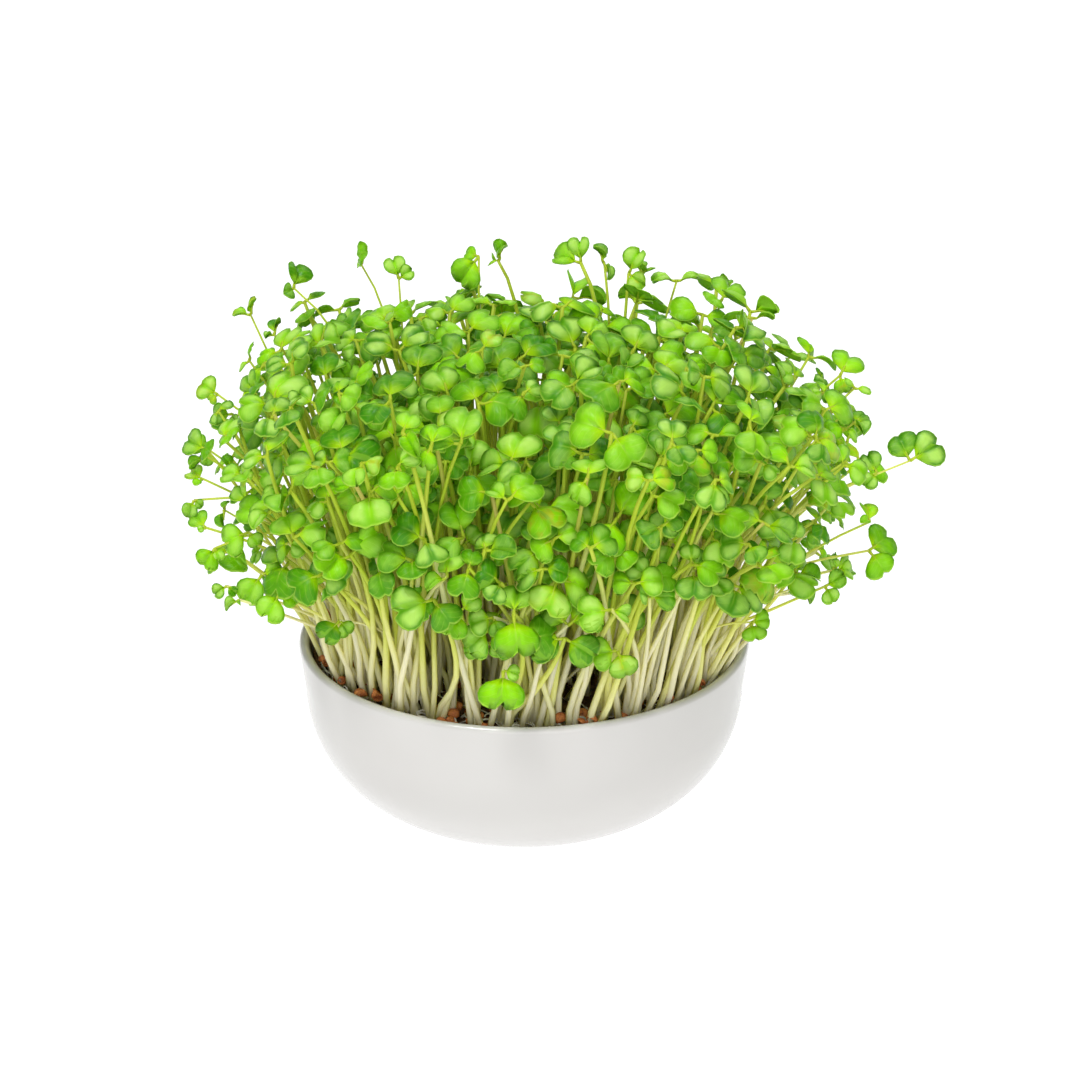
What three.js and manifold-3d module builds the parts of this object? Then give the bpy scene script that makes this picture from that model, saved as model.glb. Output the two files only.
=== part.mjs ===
// Radish microgreens in a round white bowl, in millimetres, +Z up.
// The origin is the middle of the bowl's flat base, on the surface that it stands on; -Y is the front.
// Each tuft of seedlings is one solid: its stems and notched seed leaves grow from one ball of tangled
// roots, which stands in a plain hole in the soil. Every tuft is bent clear of the others.
import * as THREE from "three";
import { mergeGeometries, mergeVertices } from "three/addons/utils/BufferGeometryUtils.js";
import Module from "manifold-3d";

// Bowl
const RIM_RADIUS = 70;
const BOWL_HEIGHT = 56;
const BASE_RADIUS = 26;
const SHOULDER_RADIUS = 68.3; // where the rounded side turns into the nearly upright wall
const SHOULDER_HEIGHT = 41;
const WALL = 3.2;
const FLOOR = 4.5;
const BOWL_SIDES = 36;
const OUTER_STEPS = 5; // of its rounded side, outside and inside
const INNER_STEPS = 4;
const QUARTER = Math.PI / 2;

// Soil
const SOIL_LEVEL = 51;
const SOIL_GAP = 0.3; // between the soil and the bowl, and between a root ball and its hole
const SOIL_EDGE_GAP = 0.45; // the first, at the soil's level
const HOLE_GAP = 0.48; // the second
const SOIL_LUMP = 0.7; // height of the unevenness of the soil's surface
const SOIL_RING = 0.6; // where its surface is divided, as a share of its radius
const SOIL_WAVES = { x: 0.21, y: 0.17, startX: 1, startY: -0.4 }; // radians to the mm, and at the origin
const LEVEL_SLACK = 0.01; // points this near the soil's level are on its surface

// Root balls
const TUFTS = 43;
const SOWN_RADIUS = 59;
const ROOT_RADIUS = 4.3;
const ROOT_DEPTH = 9; // below the soil's level
const ROOT_TOP = 1; // above it
const ROOT_SIDES = 5;

// Seedlings
const STEM_RADIUS = 1.3;
const STEM_SIDES = 3;
const STEM_STEPS = 2;
const LONE_STEM_STEPS = 3; // of a seedling that stands out of the mass
const STEM_BEND = { aside: 0.3, up: 0.6 }; // shares of the way from foot to crown
const PER_TUFT = [2, 3]; // seedlings in a tuft of the inner and of the outer part of the stand
const OUTER_START = 27; // the first tuft of the outer part
const FOOT_OFFSET = 1.4; // a stem's foot from the middle of its root ball
const FOOT_DEPTH = 1.3;
const SPREAD_OFFSET = 5.2; // the same for the place in the stand that the stem makes for
const LONE_FOOT_SHARE = -0.4; // of FOOT_OFFSET, for one that stands out: its foot is behind the middle
const LONE_LEAN = 1.35; // and its crown is this many times as far out as its foot
const LEAF_LENGTH = 14.5; // with its stalk
const LEAF_WIDTH = 13.5;
const WAIST = 3; // where the two leaves of a pair meet
const STALK_SLACK = 0.01; // points this near the corners of that place are in it
const LEAF_THICKNESS = 0.7;
const LEAF_ARCH = 1.6;
const LEAF_CUP = 1.1;
const LEAF_MIDDLE = 0.55; // of the oval that a leaf is taken for, as a share of its length
const LEAF_HALF = 0.47; // and half the length of that oval
const UPRIGHT = 0.05; // a leaf pair that is tilted less than this looks straight up

// The stand as a whole: how far the crowns of the outermost seedlings lean out, and how high they stand
const STAND_RADIUS = 63;
const REACH_RIGHT = 106;
const REACH_LEFT = 93;
const REACH_BACK = 88;
const REACH_FRONT = 74;
const TOP_LEVEL = 154;
const EDGE_SHARE = 1.04; // the furthest place that is made for, as a share of the stand's radius
const SHOULDER_DROP = 17; // the crowns at the edge stand this much lower than in the middle
const SHOULDER_POWER = 2.2;
const MIDDLE_DROP = 7; // the shortest seedlings in the middle are shorter by this
const SIDE_DROP = 52; // and those at the edge by this much more
const SIDE_POWER = 3;

// How the seedlings of the mass differ
const SEED = 11000; // of the first tuft, and one more for each after it
const TRIES = 60;
const CROWN_SCATTER = 5; // mm
const TILT_SCATTER = 0.5; // of the leaves' upper side, for 1 upwards
const TILT_FORWARD = 0.34;
const TILT_OUTWARD = 0.011; // for each mm that the crown is out from the middle
const OPPOSITE = 180; // degrees between the two leaves of a pair
const TURN_SCATTER = 70; // that angle is smaller by up to this
const LIFT = { least: -6, range: 30 }; // degrees
const SHORTER_BY_TRIES = 0.6; // what the last try may add to a seedling's shortness
const SMALLER_BY_TRIES = 0.25; // and what it takes off its leaves

// Room that is left between seedlings
const LINE_POINTS = 24;
const STEM_CLEARANCE = 3.1; // between the middle lines of two stems
const STEM_MARGIN = 0.5; // between a stem and a leaf
const LEAF_MARGIN = 0.9; // between two leaves
const NEAR_LEAVES = { share: 0.6, more: 2 }; // leaves with their middles further apart are clear

// Single seedlings that stand out of the mass: the crown in mm, the way that the upper side of its leaves
// looks, and in degrees the direction of the first leaf round that way, anticlockwise from the right, the
// turn from it to the second leaf, and how far both are raised.
const VIEWER = [0, -0.87, 0.5];
const OUTLIERS = [
  { crown: [-93, 5, 133], face: VIEWER, way: 112, turn: 70, lift: 5, size: 0.5 },
  { crown: [-96, 0, 117], face: VIEWER, way: 60, turn: 110, lift: 5, size: 0.5 },
  { crown: [-99.5, -14, 106], face: VIEWER, way: 205, turn: 80, lift: 5, size: 0.45 },
  { crown: [-92, -30, 97], face: VIEWER, way: 200, turn: 85, lift: 0, size: 0.45 },
  { crown: [-88, -40, 89], face: VIEWER, way: 160, turn: 110, lift: 0, size: 0.45 },
  { crown: [-84, 25, 152], face: [-0.6, 0, 0.8], way: 90, turn: 180, lift: 48, size: 0.55 },
  { crown: [-71, 35, 157], face: VIEWER, way: 76, turn: 120, lift: 10, size: 0.65 },
  { crown: [-84, 14, 141], face: [-0.9, 0, 0.45], way: 90, turn: 180, lift: 10, size: 0.5 },
  { crown: [-51, 50, 161], face: [-0.5, -0.6, 0.6], way: 50, turn: 95, lift: 25, size: 0.6 },
  { crown: [-39, 45, 157], face: [0, -0.8, 0.6], way: 10, turn: 85, lift: 10, size: 0.55 },
  { crown: [-14, 55, 161], face: VIEWER, way: 190, turn: 80, lift: -8, size: 0.75 },
  { crown: [-8, 47, 163], face: [-0.8, 0, 0.6], way: 90, turn: 180, lift: 5, size: 0.55 },
  { crown: [18, 55, 159], face: [-0.2, -0.6, 0.75], way: 95, turn: 85, lift: 15, size: 0.7 },
  { crown: [33, 50, 157], face: VIEWER, way: 6, turn: 76, lift: 5, size: 0.6 },
  { crown: [71, 30, 149], face: [0.1, 0.3, 0.95], way: 5, turn: 180, lift: 5, size: 0.6 },
  { crown: [98, 24, 132], face: [0.1, -0.75, 0.65], way: 15, turn: 120, lift: 0, size: 0.8 },
  { crown: [118.5, 5, 111], face: VIEWER, way: -28, turn: 72, lift: 0, size: 0.8 },
  { crown: [107, -8, 112], face: VIEWER, way: 115, turn: 110, lift: 5, size: 0.65 },
  { crown: [104, -21, 92], face: VIEWER, way: -62, turn: 90, lift: 5, size: 0.75 },
  { crown: [90, -32, 85], face: VIEWER, way: -60, turn: 90, lift: 5, size: 0.5 },
  { crown: [67, -47, 80], face: VIEWER, way: -80, turn: 90, lift: 5, size: 0.55 },
  { crown: [-6, -75, 74], face: [0, -0.8, 0.6], way: 218, turn: 84, lift: -5, size: 0.8 },
  { crown: [-10, -70, 88], face: VIEWER, way: 225, turn: 110, lift: -5, size: 0.8 },
  { crown: [27, -67, 80], face: VIEWER, way: 180, turn: 100, lift: 0, size: 0.6 },
  { crown: [-54, -54, 84], face: VIEWER, way: 230, turn: 80, lift: 0, size: 0.6 },
];

const wasm = await Module();
wasm.setup();

// Numbers from 0 to 1, the same on every run for a given seed.
function randomStream(seed) {
  let state = seed >>> 0;
  return () => {
    state = (state + 0x6d2b79f5) >>> 0;
    let t = state;
    t = Math.imul(t ^ (t >>> 15), t | 1);
    t ^= t + Math.imul(t ^ (t >>> 7), t | 61);
    return ((t ^ (t >>> 14)) >>> 0) / 4294967296;
  };
}

const vector = (x, y, z) => new THREE.Vector3(x, y, z);
const radians = THREE.MathUtils.degToRad;

// A closed geometry as a solid that can be joined and cut.
function solid(geometry) {
  const bare = geometry.clone();
  bare.deleteAttribute("normal");
  bare.deleteAttribute("uv");
  const merged = mergeVertices(bare, 1e-4);
  const mesh = new wasm.Mesh({
    numProp: 3,
    vertProperties: merged.attributes.position.array,
    triVerts: new Uint32Array(merged.index.array),
  });
  return new wasm.Manifold(mesh);
}

function geometryOf(made) {
  const mesh = made.getMesh();
  const geometry = new THREE.BufferGeometry();
  const positions = new THREE.BufferAttribute(new Float32Array(mesh.vertProperties), 3);
  geometry.setAttribute("position", positions);
  geometry.setIndex(new THREE.BufferAttribute(new Uint32Array(mesh.triVerts), 1));
  geometry.computeVertexNormals();
  return geometry;
}

// A point of the bowl's rounded side, or of one that lies inside it by inset and whose bottom is at low.
// turn goes from 0 at the flat base to a quarter circle at the foot of the upright wall.
const sidePoint = (inset, low, turn) =>
  new THREE.Vector2(
    BASE_RADIUS - inset + (SHOULDER_RADIUS - BASE_RADIUS) * Math.sin(turn),
    SHOULDER_HEIGHT - (SHOULDER_HEIGHT - low) * Math.cos(turn),
  );

const quarterTurns = (steps) =>
  Array.from({ length: steps + 1 }, (_, i) => (i / steps) * QUARTER);

// A flat base, a rounded side, a nearly upright wall and a round rim, up the outside and down the inside.
function bowl() {
  const rim = [
    [0, WALL / 2],
    [WALL / 4, 0],
    [WALL * 0.75, 0],
    [WALL, WALL / 2],
  ].map(([inset, drop]) => new THREE.Vector2(RIM_RADIUS - inset, BOWL_HEIGHT - drop));
  const profile = [
    new THREE.Vector2(0, 0),
    ...quarterTurns(OUTER_STEPS).map((turn) => sidePoint(0, 0, turn)),
    ...rim,
    ...quarterTurns(INNER_STEPS)
      .reverse()
      .map((turn) => sidePoint(WALL, FLOOR, turn)),
    new THREE.Vector2(0, FLOOR),
  ];
  const mesh = new THREE.Mesh(
    new THREE.LatheGeometry(profile, BOWL_SIDES).rotateX(QUARTER),
    new THREE.MeshStandardMaterial({ color: 0xf1efec, roughness: 0.22, metalness: 0 }),
  );
  mesh.name = "bowl";
  return mesh;
}

// Height of the soil's uneven surface.
function soilHeight(x, y) {
  const waveX = Math.sin(SOIL_WAVES.x * x + SOIL_WAVES.startX);
  const waveY = Math.cos(SOIL_WAVES.y * y + SOIL_WAVES.startY);
  return SOIL_LEVEL + SOIL_LUMP * waveX * waveY;
}

// The soil fills the bowl to below its rim, and has a plain hole for each root ball.
function soil(feet) {
  const bottom = FLOOR + SOIL_GAP;
  const lean = (RIM_RADIUS - SHOULDER_RADIUS) / (BOWL_HEIGHT - SHOULDER_HEIGHT);
  const edge = RIM_RADIUS - WALL - (BOWL_HEIGHT - SOIL_LEVEL) * lean - SOIL_EDGE_GAP;
  const profile = [
    new THREE.Vector2(0, bottom),
    ...quarterTurns(INNER_STEPS).map((turn) => sidePoint(WALL + SOIL_GAP, bottom, turn)),
    new THREE.Vector2(edge, SOIL_LEVEL),
    new THREE.Vector2(SOIL_RING * edge, SOIL_LEVEL),
    new THREE.Vector2(0, SOIL_LEVEL),
  ];
  const geometry = new THREE.LatheGeometry(profile, BOWL_SIDES).rotateX(QUARTER);
  const places = geometry.getAttribute("position");
  for (let i = 0; i < places.count; i++)
    if (places.getZ(i) > SOIL_LEVEL - LEVEL_SLACK)
      places.setZ(i, soilHeight(places.getX(i), places.getY(i)));
  let made = solid(geometry);
  for (const foot of feet) {
    const hole = rootBall(ROOT_RADIUS + HOLE_GAP, ROOT_DEPTH + SOIL_GAP, 2 * ROOT_TOP);
    made = made.subtract(solid(hole.translate(foot.x, foot.y, 0)));
  }
  const mesh = new THREE.Mesh(
    geometryOf(made),
    new THREE.MeshStandardMaterial({ color: 0x2a1a10, roughness: 0.95, metalness: 0 }),
  );
  mesh.name = "potting_soil";
  return mesh;
}

// A short post of roots from the given depth to the given height above the soil's level.
function rootBall(radius, depth, height) {
  return new THREE.CylinderGeometry(radius, radius, depth + height, ROOT_SIDES, 1)
    .rotateX(QUARTER)
    .translate(0, 0, SOIL_LEVEL + (height - depth) / 2);
}

// The middles of the root balls, evenly over the soil.
function sowTufts() {
  const golden = Math.PI * (3 - Math.sqrt(5));
  return Array.from({ length: TUFTS }, (_, i) => {
    const radius = SOWN_RADIUS * Math.sqrt((i + 0.5) / TUFTS);
    return vector(radius * Math.cos(i * golden), radius * Math.sin(i * golden), 0);
  });
}

// Where the crown of a seedling comes that makes for a place in the stand; shortness is from 0 to 1.
function crownOver(place, shortness) {
  const share = Math.min(place.length() / STAND_RADIUS, EDGE_SHARE);
  const turn = Math.atan2(place.y, place.x);
  const reachX = place.x > 0 ? REACH_RIGHT : REACH_LEFT;
  const reachY = place.y > 0 ? REACH_BACK : REACH_FRONT;
  const shorter = shortness * (MIDDLE_DROP + SIDE_DROP * share ** SIDE_POWER);
  return vector(
    reachX * share * Math.cos(turn),
    reachY * share * Math.sin(turn),
    TOP_LEVEL - (SHOULDER_DROP * share ** SHOULDER_POWER + shorter),
  );
}

// The stem's line, nearly upright at its foot and bent outwards above, and points along its straight steps.
function stemAlong(foot, crown, steps) {
  const bend = vector(
    foot.x + STEM_BEND.aside * (crown.x - foot.x),
    foot.y + STEM_BEND.aside * (crown.y - foot.y),
    foot.z + STEM_BEND.up * (crown.z - foot.z),
  );
  const line = new THREE.QuadraticBezierCurve3(foot, bend, crown);
  const joints = line.getSpacedPoints(steps);
  const parts = Math.round(LINE_POINTS / steps);
  const points = [foot];
  for (let i = 1; i <= steps; i++)
    for (let k = 1; k <= parts; k++)
      points.push(joints[i - 1].clone().lerp(joints[i], k / parts));
  return { line, steps, points };
}

// The two leaves at a crown, which lie in one plane before they are raised. face is the way that their
// upper side looks; way, turn and lift are in degrees.
function leafPair(crown, face, way, turn, lift, size) {
  const right = vector(-face.y, face.x, 0);
  if (right.length() < UPRIGHT) right.set(1, 0, 0);
  right.normalize();
  const top = face.clone().cross(right);
  const basis = new THREE.Matrix4().makeBasis(right, top, face).setPosition(crown);
  const turned = (from, to, degrees) =>
    from
      .clone()
      .multiplyScalar(Math.cos(radians(degrees)))
      .addScaledVector(to, Math.sin(radians(degrees)));
  const leaves = [way, way + turn].map((angle) => {
    const flat = turned(right, top, angle);
    const along = turned(flat, face, lift);
    const across = flat.clone().cross(face);
    return { crown, along, across, normal: across.clone().cross(along), size };
  });
  return { basis, way, turn, lift, size, leaves };
}

function outlierSeedling(entry, feet) {
  const crown = vector(...entry.crown);
  const flat = vector(crown.x, crown.y, 0);
  const inwards = Math.min(1, SOWN_RADIUS / (LONE_LEAN * flat.length()));
  const wanted = flat.clone().multiplyScalar(inwards);
  const tuft = feet.reduce(
    (best, foot, i) =>
      foot.distanceTo(wanted) < feet[best].distanceTo(wanted) ? i : best,
    0,
  );
  const side = flat.normalize().multiplyScalar(LONE_FOOT_SHARE * FOOT_OFFSET);
  const foot = feet[tuft].clone().add(side).setZ(SOIL_LEVEL - FOOT_DEPTH);
  const face = vector(...entry.face).normalize();
  const pair = leafPair(crown, face, entry.way, entry.turn, entry.lift, entry.size);
  return { tuft, ...stemAlong(foot, crown, LONE_STEM_STEPS), pair };
}

const scatter = (draw, width) => width * (draw() - 0.5);

// One try at a seedling of the mass: turned and tilted as the draws say.
function massSeedling(tuft, middle, heading, shortness, draw, size) {
  const offset = vector(Math.cos(heading), Math.sin(heading), 0);
  const place = middle.clone().addScaledVector(offset, SPREAD_OFFSET);
  const crown = crownOver(place, shortness);
  crown.x += scatter(draw, CROWN_SCATTER);
  crown.y += scatter(draw, CROWN_SCATTER);
  const foot = middle.clone().addScaledVector(offset, FOOT_OFFSET).setZ(SOIL_LEVEL - FOOT_DEPTH);
  const face = vector(scatter(draw, TILT_SCATTER), scatter(draw, TILT_SCATTER) - TILT_FORWARD, 1);
  face.addScaledVector(vector(crown.x, crown.y, 0), TILT_OUTWARD).normalize();
  const turn = OPPOSITE - TURN_SCATTER * draw();
  const way = 360 * draw();
  const pair = leafPair(crown, face, way, turn, LIFT.least + LIFT.range * draw(), size);
  return { tuft, ...stemAlong(foot, crown, STEM_STEPS), pair };
}

// A leaf's outline in its own plane, from its stalk on the right round its two lobes and the notch between
// them: shares of its width and of its length.
const OUTLINE = [
  [0.42, 0.42],
  [0.5, 0.74],
  [0.26, 1],
  [0, 0.87],
  [-0.26, 1],
  [-0.5, 0.74],
  [-0.42, 0.42],
];

const onLeaf = (leaf, x, y, rise = 0) =>
  leaf.crown
    .clone()
    .addScaledVector(leaf.across, x * LEAF_WIDTH * leaf.size)
    .addScaledVector(leaf.along, y * LEAF_LENGTH * leaf.size)
    .addScaledVector(leaf.normal, rise);

// True where the line from p to q comes into the oval slab round a leaf, grown by margin.
function lineMeetsLeaf(leaf, p, q, margin) {
  const middle = onLeaf(leaf, 0, LEAF_MIDDLE, LEAF_ARCH / 2);
  const local = (point) => {
    const d = point.clone().sub(middle);
    return vector(
      d.dot(leaf.across) / (0.5 * LEAF_WIDTH * leaf.size + margin),
      d.dot(leaf.along) / (LEAF_HALF * LEAF_LENGTH * leaf.size + margin),
      d.dot(leaf.normal),
    );
  };
  const a = local(p);
  const b = local(q);
  const half = LEAF_THICKNESS + margin;
  let from = 0;
  let to = 1;
  const rise = b.z - a.z;
  if (Math.abs(rise) > 1e-9) {
    const cuts = [(half - a.z) / rise, (-half - a.z) / rise].sort((m, n) => m - n);
    from = Math.max(from, cuts[0]);
    to = Math.min(to, cuts[1]);
  }
  if (from > to || Math.min(a.z, b.z) > half || Math.max(a.z, b.z) < -half) return false;
  const dx = b.x - a.x;
  const dy = b.y - a.y;
  const nearest = -(a.x * dx + a.y * dy) / (dx * dx + dy * dy + 1e-12);
  const t = Math.min(to, Math.max(from, nearest));
  return Math.hypot(a.x + t * dx, a.y + t * dy) < 1;
}

function leavesMeet(one, other) {
  const gap = onLeaf(one, 0, LEAF_MIDDLE).distanceTo(onLeaf(other, 0, LEAF_MIDDLE));
  const reach = NEAR_LEAVES.share * LEAF_LENGTH * (one.size + other.size) + NEAR_LEAVES.more;
  return gap <= reach && (edgeMeetsLeaf(one, other) || edgeMeetsLeaf(other, one));
}

// True where the edge of one leaf, or the line from its stalk to its notch, comes into another leaf.
function edgeMeetsLeaf(edge, leaf) {
  const points = OUTLINE.map(([x, y]) => onLeaf(edge, x, y, LEAF_ARCH / 2));
  const notch = points[(OUTLINE.length - 1) / 2];
  points.push(edge.crown);
  const ends = points.map((_, i) => points[(i + 1) % points.length]);
  return (
    points.some((point, i) => lineMeetsLeaf(leaf, point, ends[i], LEAF_MARGIN)) ||
    lineMeetsLeaf(leaf, edge.crown, notch, LEAF_MARGIN)
  );
}

function stemMeetsLeaf(points, leaf) {
  const margin = STEM_RADIUS + STEM_MARGIN;
  return points
    .slice(1)
    .some((point, i) => lineMeetsLeaf(leaf, points[i], point, margin));
}

const stemsMeet = (one, other) =>
  one.tuft !== other.tuft &&
  one.points.some((p) => other.points.some((q) => p.distanceTo(q) < STEM_CLEARANCE));

const seedlingsMeet = (one, other) =>
  stemsMeet(one, other) ||
  one.pair.leaves.some((leaf) => stemMeetsLeaf(other.points, leaf)) ||
  other.pair.leaves.some((leaf) => stemMeetsLeaf(one.points, leaf)) ||
  one.pair.leaves.some((leaf) => other.pair.leaves.some((next) => leavesMeet(leaf, next)));

// All seedlings: the outliers first, then the mass, each drawn again until it is clear of the rest.
function growStand(feet) {
  const stand = [];
  const isClear = (seedling) => !stand.some((other) => seedlingsMeet(seedling, other));
  for (const entry of OUTLIERS) {
    const seedling = outlierSeedling(entry, feet);
    if (isClear(seedling)) stand.push(seedling);
  }
  for (let tuft = feet.length - 1; tuft >= 0; tuft--) {
    const draw = randomStream(SEED + tuft);
    const heading = 2 * Math.PI * draw();
    const count = PER_TUFT[tuft < OUTER_START ? 0 : 1];
    for (let k = 0; k < count; k++) {
      const angle = heading + (2 * Math.PI * k) / count;
      for (let i = 0; i < TRIES; i++) {
        const tried = i / TRIES;
        const shortness = (k + draw()) / count + SHORTER_BY_TRIES * tried * draw();
        const size = 1 - SMALLER_BY_TRIES * tried;
        const seedling = massSeedling(tuft, feet[tuft], angle, shortness, draw, size);
        if (!isClear(seedling)) continue;
        stand.push(seedling);
        break;
      }
    }
  }
  return stand;
}

function stemSolid({ line, steps }) {
  const corners = Array.from({ length: STEM_SIDES }, (_, i) => {
    const turn = (2 * Math.PI * i) / STEM_SIDES;
    return new THREE.Vector2(STEM_RADIUS * Math.cos(turn), STEM_RADIUS * Math.sin(turn));
  });
  return solid(
    new THREE.ExtrudeGeometry(new THREE.Shape(corners), {
      steps,
      bevelEnabled: false,
      extrudePath: line,
    }),
  );
}

// One leaf of a pair as a thin blade, open at its stalk: it is arched along its length, raised a little at
// its sides and turned up about its stalk. Both leaves start at the same two corners, one on either side of
// the stem, so the two open ends close each other.
function leafBlade(pair, which) {
  const width = LEAF_WIDTH * pair.size;
  const length = LEAF_LENGTH * pair.size;
  const way = radians(pair.way + which * pair.turn);
  const middle = radians(pair.way + pair.turn / 2);
  const corner = WAIST / 2 / Math.sin(radians(pair.turn) / 2);
  const atStalk = (point) => Math.hypot(point.x, point.y) < corner + STALK_SLACK;
  const near = new THREE.Vector2(corner * Math.cos(middle), corner * Math.sin(middle));
  const far = near.clone().negate();
  const edge = OUTLINE.map(
    ([x, y]) =>
      new THREE.Vector2(
        y * length * Math.cos(way) + x * width * Math.sin(way),
        y * length * Math.sin(way) - x * width * Math.cos(way),
      ),
  );
  const outline = which === 0 ? [far, ...edge, near] : [near, ...edge, far];
  const whole = new THREE.ExtrudeGeometry(new THREE.Shape(outline), {
    depth: LEAF_THICKNESS,
    steps: 1,
    bevelEnabled: false,
  }).translate(0, 0, -LEAF_THICKNESS / 2);
  const places = whole.getAttribute("position");
  const rise = radians(pair.lift);
  const kept = [];
  for (let i = 0; i < places.count; i += 3) {
    const face = [i, i + 1, i + 2].map((k) => new THREE.Vector3().fromBufferAttribute(places, k));
    if (face.every(atStalk)) continue;
    for (const point of face) {
      if (!atStalk(point)) {
        const along = point.x * Math.cos(way) + point.y * Math.sin(way);
        const across = point.x * Math.sin(way) - point.y * Math.cos(way);
        const arch = LEAF_ARCH * Math.sin((Math.PI * along) / length);
        const level = point.z + arch + (LEAF_CUP * Math.abs(across)) / width;
        const out = along * Math.cos(rise) - level * Math.sin(rise);
        point.set(
          out * Math.cos(way) + across * Math.sin(way),
          out * Math.sin(way) - across * Math.cos(way),
          along * Math.sin(rise) + level * Math.cos(rise),
        );
      }
      kept.push(point);
    }
  }
  return new THREE.BufferGeometry().setFromPoints(kept);
}

const pairSolid = (pair) =>
  solid(mergeGeometries([leafBlade(pair, 0), leafBlade(pair, 1)]).applyMatrix4(pair.basis));

function tuftMesh(tuft, foot, stand) {
  const ball = rootBall(ROOT_RADIUS, ROOT_DEPTH, ROOT_TOP);
  let made = solid(ball.translate(foot.x, foot.y, 0));
  for (const seedling of stand.filter((s) => s.tuft === tuft)) {
    made = made.add(stemSolid(seedling)).add(pairSolid(seedling.pair));
  }
  const geometry = geometryOf(made).translate(-foot.x, -foot.y, 0);
  const mesh = new THREE.Mesh(
    geometry,
    new THREE.MeshStandardMaterial({ color: 0x5aa51e, roughness: 0.5, metalness: 0 }),
  );
  mesh.name = "seedling_tuft_" + String(tuft + 1).padStart(2, "0");
  mesh.position.set(foot.x, foot.y, 0);
  return mesh;
}

const feet = sowTufts();
const stand = growStand(feet);
const greens = new THREE.Group();
feet.forEach((foot, i) => greens.add(tuftMesh(i, foot, stand)));

const potted = new THREE.Group();
potted.add(bowl(), soil(feet), greens);
export default potted;
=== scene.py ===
"""Radish microgreens in a round white bowl: a dense stand of young seedlings in dark soil.

The stand is laid out in millimetres by the same rule as its solids, so each tuft of finer seedlings grows
where its solid does. Meshes are in metres, +Z up, with the photographed side facing -Y.
"""

from __future__ import annotations

import logging
import math
from dataclasses import dataclass, field, replace
from enum import Enum
from typing import Any, Callable, Iterable

import bmesh
import bpy
import numpy as np
from mathutils import Matrix, Vector, noise


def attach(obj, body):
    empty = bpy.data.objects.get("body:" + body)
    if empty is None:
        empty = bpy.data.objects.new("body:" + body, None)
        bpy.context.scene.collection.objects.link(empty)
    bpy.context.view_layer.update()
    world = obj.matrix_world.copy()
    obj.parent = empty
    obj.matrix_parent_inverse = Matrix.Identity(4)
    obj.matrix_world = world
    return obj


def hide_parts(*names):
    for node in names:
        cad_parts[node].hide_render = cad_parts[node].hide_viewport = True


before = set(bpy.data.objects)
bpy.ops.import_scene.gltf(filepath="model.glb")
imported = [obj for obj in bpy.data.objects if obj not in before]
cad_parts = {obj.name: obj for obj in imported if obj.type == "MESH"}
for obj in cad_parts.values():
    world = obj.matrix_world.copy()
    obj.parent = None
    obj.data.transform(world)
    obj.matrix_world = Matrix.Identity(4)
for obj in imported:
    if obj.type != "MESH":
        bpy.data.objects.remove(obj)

LOG = logging.getLogger("microgreens")
MM = 0.001
BODY = "root"
GOLDEN_ANGLE = math.pi * (3 - math.sqrt(5))
GOLDEN_SHARE = 0.618
FIRST_SHARE = 0.3
FULL_TURN = 360
HALF_TURN = 180
AROUND = (0.0, 6.28)
WHITE = (1.0, 1.0, 1.0, 1.0)
Colour = tuple[float, float, float, float]
Place = tuple[float, float, float]
Range = tuple[float, float]


class Slot(str, Enum):
    """The record's material slots."""

    BOWL = "glazed_bowl"
    SOIL = "soil"
    SEEDLING = "seedling"


class RandomStream:
    """Numbers from 0 to 1, the same on every run for a given seed."""

    def __init__(self, seed: int) -> None:
        """Starts the stream at a seed."""
        self.state = seed & 0xFFFFFFFF

    def draw(self) -> float:
        """Gives the next number from 0 to 1."""
        self.state = (self.state + 0x6D2B79F5) & 0xFFFFFFFF
        t = self.state
        t = ((t ^ (t >> 15)) * (t | 1)) & 0xFFFFFFFF
        t ^= (t + (t ^ (t >> 7)) * (t | 61)) & 0xFFFFFFFF
        return ((t ^ (t >> 14)) & 0xFFFFFFFF) / 4294967296

    def between(self, low: float, high: float) -> float:
        """Gives the next number from low to high."""
        return low + (high - low) * self.draw()


def unit(vector: np.ndarray) -> np.ndarray:
    """The vector made one long."""
    return vector / np.linalg.norm(vector)


def flat_way(turn: float) -> np.ndarray:
    """The flat direction at a turn from the right, in radians."""
    return np.array([math.cos(turn), math.sin(turn), 0.0])


def beside(way: np.ndarray) -> np.ndarray:
    """The flat direction a quarter turn on from another."""
    return np.array([-way[1], way[0], 0.0])


def flattened(point: np.ndarray) -> np.ndarray:
    """A point moved down to the ground."""
    return np.array([point[0], point[1], 0.0])


def nearest(feet: np.ndarray, place: np.ndarray) -> int:
    """The number of the foot that is nearest to a place."""
    return int(np.argmin(np.linalg.norm(feet - place, axis=1)))


def bend_between(foot: np.ndarray, crown: np.ndarray, arch: float = 0.6) -> np.ndarray:
    """The point that a stem bends towards, with arch for its height as a share of the crown's."""
    return foot + (crown - foot) * np.array([0.3, 0.3, arch])


def along_stem(foot: np.ndarray, bend: np.ndarray, crown: np.ndarray, share: Any) -> np.ndarray:
    """The point at a share of the way along a stem's line, or the points at several."""
    return (1 - share) ** 2 * foot + 2 * (1 - share) * share * bend + share**2 * crown


def even_share(k: int) -> float:
    """A share from 0 to 1 that lies evenly among those before it as k counts up."""
    return (k * GOLDEN_SHARE + FIRST_SHARE) % 1.0


# Materials

# The numbers of a colour mix's inputs and of its output
MIX_SHARE, MIX_FIRST, MIX_SECOND = 0, 6, 7
MIX_COLOUR = 2


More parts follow.
